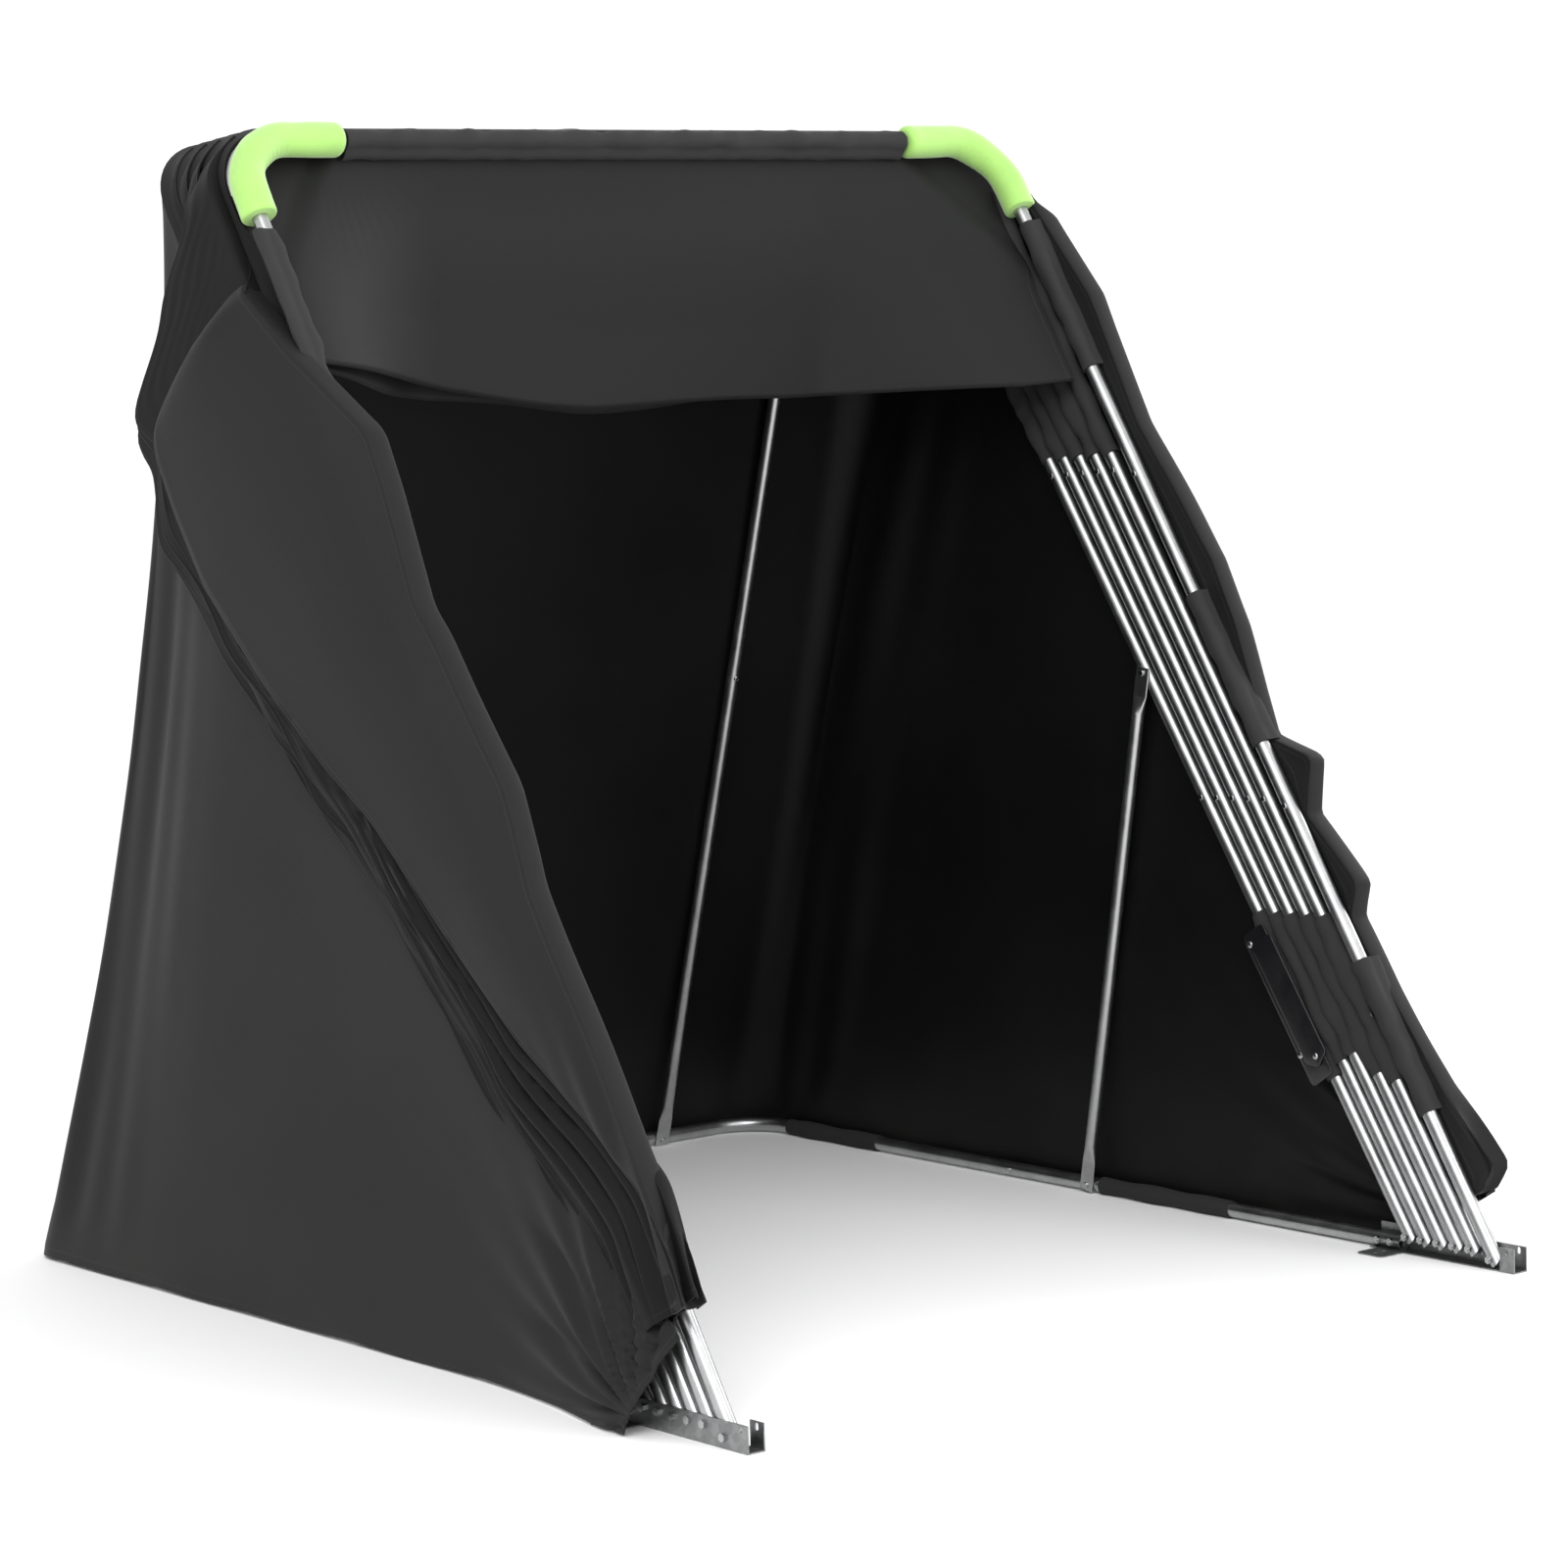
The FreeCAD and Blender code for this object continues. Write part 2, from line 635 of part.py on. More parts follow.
def gusset(hoop):
    """The cloth between two hoops, folded: side folds, a strip over the bars and a hanging pleat."""
    y, z = on_leg(hoop, LEG)
    y_next, z_next = on_leg(hoop - 1, LEG)
    reach = PAD_R if hoop == 6 else TUBE_R + SLEEVE
    cap_z = max(z, z_next) + CAP_RISE + CLOTH
    x = fold_x(hoop)
    outline = fold_outline(hoop, cap_z)
    side = profile(outline, x, x + CLOTH)
    cap = block(-x - CLOTH, x + CLOTH, outline[0][0], outline[1][0], cap_z - CLOTH, cap_z)
    pleat_y = ((y + reach) + (y_next - TUBE_R - SLEEVE)) / 2
    half = 440.0 if hoop == 2 else PLEAT_HALF
    pleat = block(-half, half, pleat_y - CLOTH / 2, pleat_y + CLOTH / 2, cap_z - PLEAT_DEPTH, cap_z)
    return side.fuse(mirrored(side)).fuse(cap).fuse(pleat).removeSplitter()


def tie_strap():
    """A riveted strap with a doubled end, lying along the rear hoop's right leg, inside."""
    x = HALF_WIDTH - TUBE_R - SLEEVE - 3.0
    points = [on_leg(1, a, b) for a, b in ((330, -8), (330, 34), (560, 34), (560, -8))]
    return profile(points, x - 2.5, x)


# --- export -------------------------------------------------------------------------------------

def origin_y():
    """The middle of the footprint, from the bracket's front end to the foot of the rear wall."""
    shell_box = cover_shell().BoundBox
    return (BRACKET_FRONT + shell_box.YMax) / 2


def export(node, solids, shift):
    shape = Part.makeCompound(solids) if len(solids) > 1 else solids[0]
    shape = shape.copy()
    shape.translate(vec(0, -shift, 0))
    shape.exportStep(f"parts/{node}.step")


def base_nodes():
    """Every node of the fixed frame and the fixed part of the cover."""
    side, rear = frame_lines()
    shell = cover_shell()
    edge = HALF_WIDTH - BEND_R
    side_brace = brace(side, 1)
    rear_brace = brace(rear, 2)
    return {
        "left_bracket": [mirrored(bracket(True))],
        "right_bracket": [bracket(False)],
        "bracket_bolts": [s for y, z in bolt_places() for s in pair(bracket_bolt(y, z))],
        "bracket_nuts": [s for y, z in bolt_places() for s in pair(bracket_nut(y, z))],
        "ground_front_tube_left": [mirrored(ground_front_tube())],
        "ground_front_tube_right": [ground_front_tube()],
        "ground_corner_tube_left": [mirrored(ground_corner_tube())],
        "ground_corner_tube_right": [ground_corner_tube()],
        "ground_rear_tube": [ground_rear_tube()],
        "side_brace_left": [mirrored(s) for s in side_brace],
        "side_brace_right": side_brace,
        "rear_brace_left": [mirrored(s) for s in rear_brace],
        "rear_brace_right": rear_brace,
        "frame_screws": ground_screws() + brace_screws() + hoop_screws(1),
        "ground_sleeves": ground_sleeves(),
        "cover_left_wall": [cover_piece(shell, -900, -edge)],
        "cover_rear_wall": [cover_piece(shell, -edge, edge)],
        "cover_right_wall": [cover_piece(shell, edge, 900)],
        "tie_strap": [tie_strap()],
    }


def hoop_nodes(hoop):
    """Every node of one hoop: tubes, sleeves and screws, and the folded cloth behind it."""
    right_leg = [lower_leg(hoop), middle_leg(hoop)]
    corner = corner_tube(hoop)
    nodes = {
        f"hoop_{hoop}_left_leg": [mirrored(s) for s in right_leg],
        f"hoop_{hoop}_right_leg": right_leg,
        f"hoop_{hoop}_arch": [mirrored(corner), corner, top_tube(hoop)],
        f"hoop_{hoop}_sleeves": hoop_sleeves(hoop),
    }
    if hoop > 1:
        nodes[f"hoop_{hoop}_screws"] = hoop_screws(hoop)
        nodes[f"gusset_{hoop}"] = [gusset(hoop)]
    if hoop == 6:
        nodes["corner_pad_left"] = [mirrored(corner_pad())]
        nodes["corner_pad_right"] = [corner_pad()]
    return nodes


def main():
    os.makedirs("parts", exist_ok=True)
    shift = origin_y()
    nodes = base_nodes()
    for hoop in HOOPS:
        nodes.update(hoop_nodes(hoop))
    for node, solids in nodes.items():
        export(node, solids, shift)
    print(len(nodes), "nodes; origin", round(shift, 3), "mm behind the front pivot")


main()
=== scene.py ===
"""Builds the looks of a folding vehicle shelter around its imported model."""

from math import cos, pi, radians, sin, sqrt, tan

import bmesh
import bpy
import numpy as np
from bpy.props import FloatProperty, FloatVectorProperty, PointerProperty
from bpy.types import Operator, Panel, PropertyGroup
from mathutils import Matrix, Vector


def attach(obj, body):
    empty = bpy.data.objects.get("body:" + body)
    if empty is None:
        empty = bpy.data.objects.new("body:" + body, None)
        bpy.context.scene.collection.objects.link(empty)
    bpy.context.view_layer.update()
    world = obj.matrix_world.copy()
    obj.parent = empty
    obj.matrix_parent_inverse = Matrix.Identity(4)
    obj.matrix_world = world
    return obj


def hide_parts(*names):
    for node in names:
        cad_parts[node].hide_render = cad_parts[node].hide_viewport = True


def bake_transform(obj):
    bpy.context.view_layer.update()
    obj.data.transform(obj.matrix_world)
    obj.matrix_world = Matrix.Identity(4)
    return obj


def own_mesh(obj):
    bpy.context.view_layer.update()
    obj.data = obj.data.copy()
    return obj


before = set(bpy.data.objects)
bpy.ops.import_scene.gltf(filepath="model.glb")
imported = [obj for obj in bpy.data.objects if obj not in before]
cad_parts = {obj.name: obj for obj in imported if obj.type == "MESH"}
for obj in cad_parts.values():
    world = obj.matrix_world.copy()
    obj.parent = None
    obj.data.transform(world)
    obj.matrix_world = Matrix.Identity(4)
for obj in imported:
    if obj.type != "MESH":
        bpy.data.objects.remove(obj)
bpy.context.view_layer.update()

bl_info = {
    "name": "Folding vehicle shelter",
    "version": (1, 0, 0),
    "blender": (4, 5, 0),
    "location": "View3D > Sidebar > Shelter",
    "description": "Cloth, foam, steel and studio of a folding vehicle shelter",
    "category": "Object",
}

# ---- Where things are, in metres. X is the width, Y runs to the rear, Z is up

FRONT = -0.806551           # y of the front hoop's pivot
HALF = 0.685                # from the middle to a leg's centre line
LEG = 1.880                 # from a pivot to the top bar's centre line
BEND = 0.090                # bend radius of a hoop's corners
CORNER = BEND * pi / 2  # a bend's length on its centre line
PIVOT = {6: (FRONT, 0.014), 5: (FRONT + 0.038, 0.024), 4: (FRONT + 0.068, 0.024),
         3: (FRONT + 0.098, 0.024), 2: (FRONT + 0.128, 0.024), 1: (FRONT + 0.158, 0.024)}
LEAN = {6: 58.1, 5: 57.7, 4: 57.5, 3: 57.3, 2: 57.1, 1: 56.9}
SHARE = {1: 0.0, 2: 0.2, 3: 0.4, 4: 0.6, 5: 0.8, 6: 1.0}    # of the front hoop's turn
MOVING = (2, 3, 4, 5, 6)    # hoops that turn, each with cloth to the hoop behind it
GROUND_Z = 0.013
REAR_BAR = FRONT + 1.640    # y of the rear ground tube
WALL_OUT = 0.0146           # from a tube's centre line to the middle of the cover's cloth


def in_hoop(hoop, x, along, behind):
    """Points in a hoop's own plane: along its legs from the pivot, and behind that plane.

    y = pivot y + along cos(lean) + behind sin(lean); z = pivot z + along sin(lean) - behind cos(lean).
    """
    y0, z0 = PIVOT[hoop]
    turn = radians(LEAN[hoop])
    y = y0 + along * cos(turn) + behind * sin(turn)
    z = z0 + along * sin(turn) - behind * cos(turn)
    return np.stack(np.broadcast_arrays(x, y, z), axis=-1)


def way_in_hoop(hoop, along, behind):
    """The same as a direction, for along and behind."""
    turn = radians(LEAN[hoop])
    return np.array([0.0, along * cos(turn) + behind * sin(turn),
                     along * sin(turn) - behind * cos(turn)])


def arch(s, low, grow):
    """The outline of a hoop as x and along, for s from 0 at the left foot to 1 at the right one.

    Lengths are shared out as left leg, quarter circle, bar, quarter circle, right leg; grow moves
    the outline outwards, which is away from the leg, or away from the bend's centre, or up.
    """
    leg, bar = LEG - BEND - low, 2 * (HALF - BEND)
    d = np.minimum(s, 1 - s) * (2 * leg + 2 * CORNER + bar)
    angle = np.clip((d - leg) / CORNER, 0, 1) * (pi / 2)
    over = np.clip(d - leg - CORNER, 0, None)
    x = HALF - BEND + (BEND + grow) * np.cos(angle) - over
    along = low + np.clip(d, 0, leg) + (BEND + grow) * np.sin(angle)
    return np.where(s < 0.5, -x, x), along


def column(*steps, **more):
    """Even steps that run down a grid's rows, given as for numpy's linspace."""
    return np.linspace(*steps, **more)[:, None]


def row(*steps, **more):
    """Even steps that run across a grid's columns."""
    return np.linspace(*steps, **more)[None]


def smooth(t):
    """Runs from 0 to 1 with level ends: t squared times (3 - 2 t)."""
    t = np.clip(t, 0, 1)
    return t * t * (3 - 2 * t)


def bump(t, middle, width):
    """A bell of height 1: e to the power of minus ((t - middle) / width) squared."""
    return np.exp(-(((t - middle) / width) ** 2))


def creases(a, b, seed, number, longest, shortest, heading=0.0, fan=3.14):
    """Soft wrinkles over two lengths: a sum of sine waves, each with its own wavelength, heading and phase."""
    rng = np.random.default_rng(seed)
    total = 0.0
    for size, turn, phase in zip(rng.uniform(shortest, longest, number),
                                 heading + rng.uniform(-fan / 2, fan / 2, number),
                                 rng.uniform(0, 2 * pi, number)):
        total = total + np.sin(2 * pi * (a * cos(turn) + b * sin(turn)) / size + phase)
    return total / sqrt(number / 2)


def ripples(a, seed, number, longest, shortest):
    """Creases that run straight across one length."""
    return creases(a, 0 * a, seed, number, longest, shortest, fan=0.1)


# ---- Meshes

def quads(rows, columns, wrap_rows=False, wrap_columns=False):
    """Corner rows and columns of every face of a grid, unwrapped, as two (faces, 4) arrays."""
    i, j = np.meshgrid(np.arange(rows if wrap_rows else rows - 1),
                       np.arange(columns if wrap_columns else columns - 1), indexing="ij")
    i, j = i.ravel(), j.ravel()
    return np.stack([i, i + 1, i + 1, i], 1), np.stack([j, j, j + 1, j + 1], 1)


def make_object(name, points, faces, face_uv, materials, index=None, sharp=55):
    """Puts whole arrays of points, faces and face corner coordinates into a new object."""
    mesh = bpy.data.meshes.new(name)
    mesh.from_pydata(points.reshape(-1, 3).tolist(), [], faces.tolist())
    layer = mesh.uv_layers.new(name="UVMap")
    layer.data.foreach_set("uv", face_uv.reshape(-1).astype(np.float32))
    for material in materials:
        mesh.materials.append(material)
    if index is not None:
        mesh.polygons.foreach_set("material_index", index.astype(np.int32))
    mesh.polygons.foreach_set("use_smooth", np.ones(len(faces), bool))
    mesh.update()
    mesh.set_sharp_from_angle(angle=radians(sharp))
    piece = bpy.data.objects.new(name, mesh)
    bpy.context.scene.collection.objects.link(piece)
    return piece


def lengths(points, axis):
    """Running distance over a grid's rows or columns in metres, averaged over the other way."""
    step = np.linalg.norm(np.diff(points, axis=axis), axis=-1).mean(axis=1 - axis)
    return np.concatenate([[0.0], np.cumsum(step)])


def grid_uv(points, wrap_rows=False, wrap_columns=False):
    """A map in metres over a grid, with one more row or column where it wraps."""
    u, v = lengths(points, 0), lengths(points, 1)
    if wrap_rows:
        u = np.append(u, u[-1] * (1 + 1 / len(u)))
    if wrap_columns:
        v = np.append(v, v[-1] * (1 + 1 / len(v)))
    return np.stack(np.meshgrid(u, v, indexing="ij"), -1)


def facing(points, wrap_columns=False):
    """Unit normals of a grid: the cross product of its two slopes."""
    across = np.gradient(points, axis=0)
    if wrap_columns:
        down = np.roll(points, -1, axis=1) - np.roll(points, 1, axis=1)
    else:
        down = np.gradient(points, axis=1)
    normal = np.cross(across, down)
    size = np.linalg.norm(normal, axis=-1, keepdims=True)
    return normal / np.maximum(size, 1e-12)


def cloth_shell(name, points, thickness, materials, wrap=False, hem=0.0, seam=None):
    """A sheet of cloth as a closed thin shell: the grid moved half its thickness each way, and a rim.

    A hem this wide doubles the thickness near the edges. The point attribute from_edge holds the distance from the
    nearest edge, or from a seam where the grid's distances to one are given; the stitches follow it.
    """
    rows, columns = points.shape[:2]
    normal = facing(points, wrap)
    half = np.full((rows, columns), thickness / 2)
    u, v = lengths(points, 0), lengths(points, 1)
    edge = np.minimum(u, u[-1] - u)[:, None] + 0 * v[None]
    if not wrap:
        edge = np.minimum(edge, np.minimum(v, v[-1] - v)[None])
    if hem:
        half = half * (1 + 0.9 * smooth((hem - edge) / 0.002 + 0.5))
    outer, inner = points + normal * half[..., None], points - normal * half[..., None]
    i, j = quads(rows, columns, wrap_columns=wrap)
    uv = grid_uv(points, wrap_columns=wrap)
    at = i * columns + j % columns
    below = at + rows * columns
    faces, maps = [at, below[:, ::-1]], [uv[i, j], uv[i, j][:, ::-1]]
    index = [np.zeros(len(at)), np.ones(len(at))]

    def rim(ia, ja, ib, jb):
        """Faces between the two sides along an edge that runs from (ia, ja) to (ib, jb) on the outer side."""
        pa, pb = ia * columns + ja % columns, ib * columns + jb % columns
        faces.append(np.stack([pb, pa, pa + rows * columns, pb + rows * columns], 1))
        maps.append(np.stack([uv[ib, jb], uv[ia, ja], uv[ia, ja], uv[ib, jb]], 1))
        index.append(np.zeros(len(pa)))

    r, c = np.arange(rows - 1), np.arange(columns if wrap else columns - 1)
    rim(0, c + 1, 0, c)
    rim(rows - 1, c, rows - 1, c + 1)
    if not wrap:
        rim(r, 0, r + 1, 0)
        rim(r + 1, columns - 1, r, columns - 1)
    piece = make_object(name, np.concatenate([outer.reshape(-1, 3), inner.reshape(-1, 3)]),
                        np.concatenate(faces), np.concatenate(maps), materials, np.concatenate(index))
    edge = np.broadcast_to(edge, (rows, columns)) if seam is None else np.minimum(edge, seam)
    sewn = piece.data.attributes.new("from_edge", "FLOAT", "POINT")
    sewn.data.foreach_set("value", np.tile(edge.ravel(), 2).astype(np.float32))
    return piece


def seal(piece):
    """Merges a solid's poles and turns all its faces outwards."""
    mesh = bmesh.new()
    mesh.from_mesh(piece.data)
    bmesh.ops.remove_doubles(mesh, verts=mesh.verts, dist=2e-5)
    bmesh.ops.holes_fill(mesh, edges=[e for e in mesh.edges if e.is_boundary], sides=0)
    bmesh.ops.recalc_face_normals(mesh, faces=mesh.faces)
    mesh.to_mesh(piece.data)
    mesh.free()
    return piece


def solid(name, grid, uv, material_used, wrap_rows=False, sharp=55):
    """A closed solid from a grid whose columns wrap, and whose rows wrap too or end in a point."""
    rows, columns = grid.shape[:2]
    i, j = quads(rows, columns, wrap_rows, True)
    return seal(make_object(name, grid, i % rows * columns + j % columns, uv[i, j], [material_used], sharp=sharp))


def join(name, parts):
    """Joins several new objects into one mesh."""
    first = parts[0]
    if len(parts) > 1:
        with bpy.context.temp_override(active_object=first, selected_editable_objects=parts):
            bpy.ops.object.join()
    first.name = first.data.name = name
    return first


# ---- Materials

def maths(operation, reflected=False):
    """A method that feeds a socket and another value into one maths node, the other way round where reflected."""
    def method(self, *others):
        values = (*others, self) if reflected else (self, *others)
        return self.finish.node("ShaderNodeMath", {"operation": operation}, dict(enumerate(values)))
    return method


class Link:
    """A node's output socket, so that shader maths reads as plain sums."""
    __add__ = __radd__ = maths("ADD")
    __mul__ = __rmul__ = maths("MULTIPLY")
    __sub__, __rsub__ = maths("SUBTRACT"), maths("SUBTRACT", reflected=True)
    __truediv__, __rtruediv__ = maths("DIVIDE"), maths("DIVIDE", reflected=True)
    __gt__, __lt__ = maths("GREATER_THAN"), maths("LESS_THAN")
    sine, size = maths("SINE"), maths("ABSOLUTE")

    def __init__(self, finish, socket):
        self.finish, self.socket = finish, socket

    def within(self, low, high):
        """0 below low, 1 above high and an even ramp between them."""
        return self.finish.node("ShaderNodeMapRange", {"clamp": True},
                                {"Value": self, "From Min": low, "From Max": high})


class Finish:
    """A material that is being put together around one Principled shader."""

    def __init__(self, name, **fixed):
        self.material = bpy.data.materials.new(name)
        self.material.use_nodes = True
        self.tree = self.material.node_tree
        self.tree.nodes.clear()
        self.shader = self.tree.nodes.new("ShaderNodeBsdfPrincipled")
        output = self.tree.nodes.new("ShaderNodeOutputMaterial")
        self.tree.links.new(self.shader.outputs[0], output.inputs["Surface"])
        for socket, value in fixed.items():
            self.shader.inputs[socket.replace("_", " ")].default_value = value

    def node(self, kind, settings=None, inputs=None, output=0):
        """Any node: its settings first, then the values or links of its sockets."""
        node = self.tree.nodes.new(kind)
        for key, value in (settings or {}).items():
            setattr(node, key, value)
        for key, value in (inputs or {}).items():
            if isinstance(value, Link):
                self.tree.links.new(value.socket, node.inputs[key])
            else:
                node.inputs[key].default_value = value
        return Link(self, node.outputs[output])

    def use(self, socket, link):
        self.tree.links.new(link.socket, self.shader.inputs[socket])

    def place(self, kind="Object"):
        """Object coordinates or the piece's own map."""
        if kind == "UV":
            return self.node("ShaderNodeUVMap", {"uv_map": "UVMap"})
        return self.node("ShaderNodeTexCoord", output=3)

    def noise(self, place, scale, detail=2.0, rough=0.5):
        return self.node("ShaderNodeTexNoise", None,
                         {"Vector": place, "Scale": scale, "Detail": detail, "Roughness": rough})

    def cells(self, place, scale, output=0):
        return self.node("ShaderNodeTexVoronoi", None, {"Vector": place, "Scale": scale}, output)

    def part(self, vector, axis):
        """One of a vector's three parts."""
        return self.node("ShaderNodeSeparateXYZ", None, {"Vector": vector}, axis)

    def mix(self, factor, one, other):
        """A colour between two, which are values or links; the sockets are the node's colour ones."""
        return self.node("ShaderNodeMix", {"data_type": "RGBA"}, {0: factor, 6: one, 7: other}, 2)

    def relief(self, height, strength, distance):
        self.use("Normal", self.node("ShaderNodeBump", None,
                                     {"Height": height, "Strength": strength, "Distance": distance}))


def shade(colour, factor):
    return tuple(c * factor for c in colour[:3]) + (1.0,)


STITCH_IN, STITCH_HALF, STITCH_PITCH = 0.009, 0.0007, 0.005     # from the edge, half a thread, one dash and gap
DUST_HIGH = 0.22


def woven(name, colour, thread=0.0011, rough=0.6, sheen=0.04, depth=0.3, shine=0.20):
    """Plain-woven cloth: threads that cross over and under, slubs, soft patches of tone, dust near the ground,
    and a dashed line of stitches beside every sewn edge."""
    finish = Finish(name, Sheen_Weight=sheen, Sheen_Roughness=0.4, Specular_IOR_Level=shine)
    place = finish.place("UV")
    axes = [finish.part(place, axis) for axis in (0, 1)]
    waves = [(axis * (pi / thread)).sine() for axis in axes]
    weave = waves[0] * waves[1]
    slub = finish.noise(finish.place(), 420.0, 2.0, 0.6)
    patch = finish.noise(finish.place(), 3.2, 4.0, 0.55)
    lint = finish.noise(finish.place(), 95.0, 3.0, 0.7)
    tone = patch * 0.6 + lint * 0.25 + slub * 0.3 + weave * 0.08
    edge = finish.node("ShaderNodeAttribute", {"attribute_name": "from_edge"}, output=2)
    dashes = ((axes[0] + axes[1]) * (2 * pi / STITCH_PITCH)).sine() > -0.45
    stitch = ((edge - STITCH_IN).size() < STITCH_HALF) * dashes
    dust = (1.0 - finish.part(finish.place(), 2).within(0.0, DUST_HIGH)) * patch.within(0.35, 0.75)
    base = finish.mix(tone.within(0.25, 0.9), shade(colour, 0.62), shade(colour, 1.45))
    base = finish.mix(dust * 0.10, base, (0.10, 0.095, 0.085, 1.0))
    finish.use("Base Color", finish.mix(stitch * 0.8, base, shade(colour, 3.2)))
    finish.use("Roughness", (patch * 0.22 + (rough - 0.11) + lint * 0.06))
    finish.relief(weave * 0.5 + slub * 0.9 + lint * 0.5 + stitch * 2.0, depth, 0.00035)
    return finish.material


def zinc(name, colour, rough=0.3, spangle=0.0):
    """Zinc-plated steel: drawn streaks, faint cloudy patches and small scuffs."""
    finish = Finish(name, Specular_IOR_Level=0.5)
    place = finish.place()
    cloud = finish.noise(place, 26.0, 4.0, 0.6)
    grain = finish.noise(place, 380.0, 2.0, 0.6)
    scuff = finish.noise(place, 75.0, 6.0, 0.75)
    tone = cloud * 0.7 + grain * 0.3
    if spangle:
        tone = tone * (1 - spangle) + finish.part(finish.cells(place, 110.0, 1), 0) * spangle
    finish.use("Base Color", finish.mix(tone.within(0.3, 0.75), shade(colour, 0.72), shade(colour, 1.08)))
    marks = scuff.within(0.62, 0.72)
    finish.use("Roughness", cloud * 0.18 + marks * 0.15 + (rough - 0.08))
    finish.use("Metallic", 1.0 - marks * 0.12)
    finish.relief(grain * 0.6 + scuff * 0.4, 0.025, 0.0002)
    return finish.material


def foam(name, colour):
    """Closed-cell foam: tiny pores, a matt skin and paler rubbed places."""
    finish = Finish(name, Specular_IOR_Level=0.5, Sheen_Weight=0.45, Sheen_Roughness=0.5)
    place = finish.place()
    pores = finish.cells(place, 620.0)
    cloud = finish.noise(place, 18.0, 4.0, 0.55)
    fine = finish.noise(place, 260.0, 3.0, 0.6)
    tone = cloud * 0.7 + fine * 0.3
    finish.use("Base Color", finish.mix(tone.within(0.3, 0.75), shade(colour, 0.9), shade(colour, 1.1)))
    finish.use("Roughness", fine * 0.15 + 0.62)
    finish.relief(pores * 0.7 + fine * 0.6, 0.25, 0.0005)
    return finish.material


def vinyl(name, colour):
    """Glossy black coated strap, with a fine leather-like grain and a few dull scratches."""
    finish = Finish(name, Specular_IOR_Level=0.5, Coat_Weight=0.4, Coat_Roughness=0.12)
    place = finish.place()
    grain = finish.cells(place, 700.0)
    cloud = finish.noise(place, 40.0, 4.0, 0.6)
    finish.use("Base Color", finish.mix(cloud, shade(colour, 0.7), shade(colour, 1.6)))
    finish.use("Roughness", cloud * 0.3 + 0.18)
    finish.relief(grain, 0.15, 0.0003)
    return finish.material


def paint(nodes, material):
    """Gives CAD nodes a material in their slots, and leaves their meshes alone."""
    for node in nodes:
        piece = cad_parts[node]
        if not piece.material_slots:
            piece.data.materials.append(material)
        for slot in piece.material_slots:
            slot.material = material


def material(name, maker, *values, **more):
    """Makes a material once and finds it again by name."""
    return bpy.data.materials.get(name) or maker(name, *values, **more)


def cover_cloths(settings):
    # the inner faces' cloth is darkened to 0.48 of the cover's: partly its coated back, partly painted shade for the
    # shade inside the shelter
    return [material("cover_cloth_outside", woven, settings.cloth_colour),
            material("cover_cloth_inside", woven, shade(settings.cloth_colour, 0.48), rough=0.42, sheen=0.01,
                     shine=0.11)]


def fold_cloths_painted_shade(settings):
    """The sides of the folds, a little darker and duller than the walls: painted shade for the shadow that lies in
    the folds.
    """
    # painted shade: the folds' cloth colour is darkened to 0.70 of the cover's to stand for the shadow in them
    return [material("cover_cloth_folds", woven, shade(settings.cloth_colour, 0.70), shine=0.13, sheen=0.02),
            cover_cloths(settings)[1]]


def sleeve_cloths(settings):
    # the sleeves' cloth is darkened to 0.45 of the cover's: partly a heavier black cloth, partly painted shade for
    # sleeves seen in the shelter's shade
    face = material("sleeve_cloth", woven, shade(settings.cloth_colour, 0.45), 0.0016, rough=0.62, depth=0.5,
                    shine=0.11)
    return [face, face]


# ---- The fixed rear cover

def perimeter(s, low):
    """How far a place on a hoop's outline is up its leg (0 to 1), round its corner, and along its bar (0 to 1)."""
    leg, bar = LEG - BEND - low, 2 * (HALF - BEND)
    d = np.minimum(s, 1 - s) * (2 * leg + 2 * CORNER + bar)
    return (np.clip(d / leg, 0, 1), np.clip((d - leg) / CORNER, 0, 1) * pi / 2,
            np.clip(d - leg - CORNER, 0, None) / (bar / 2))


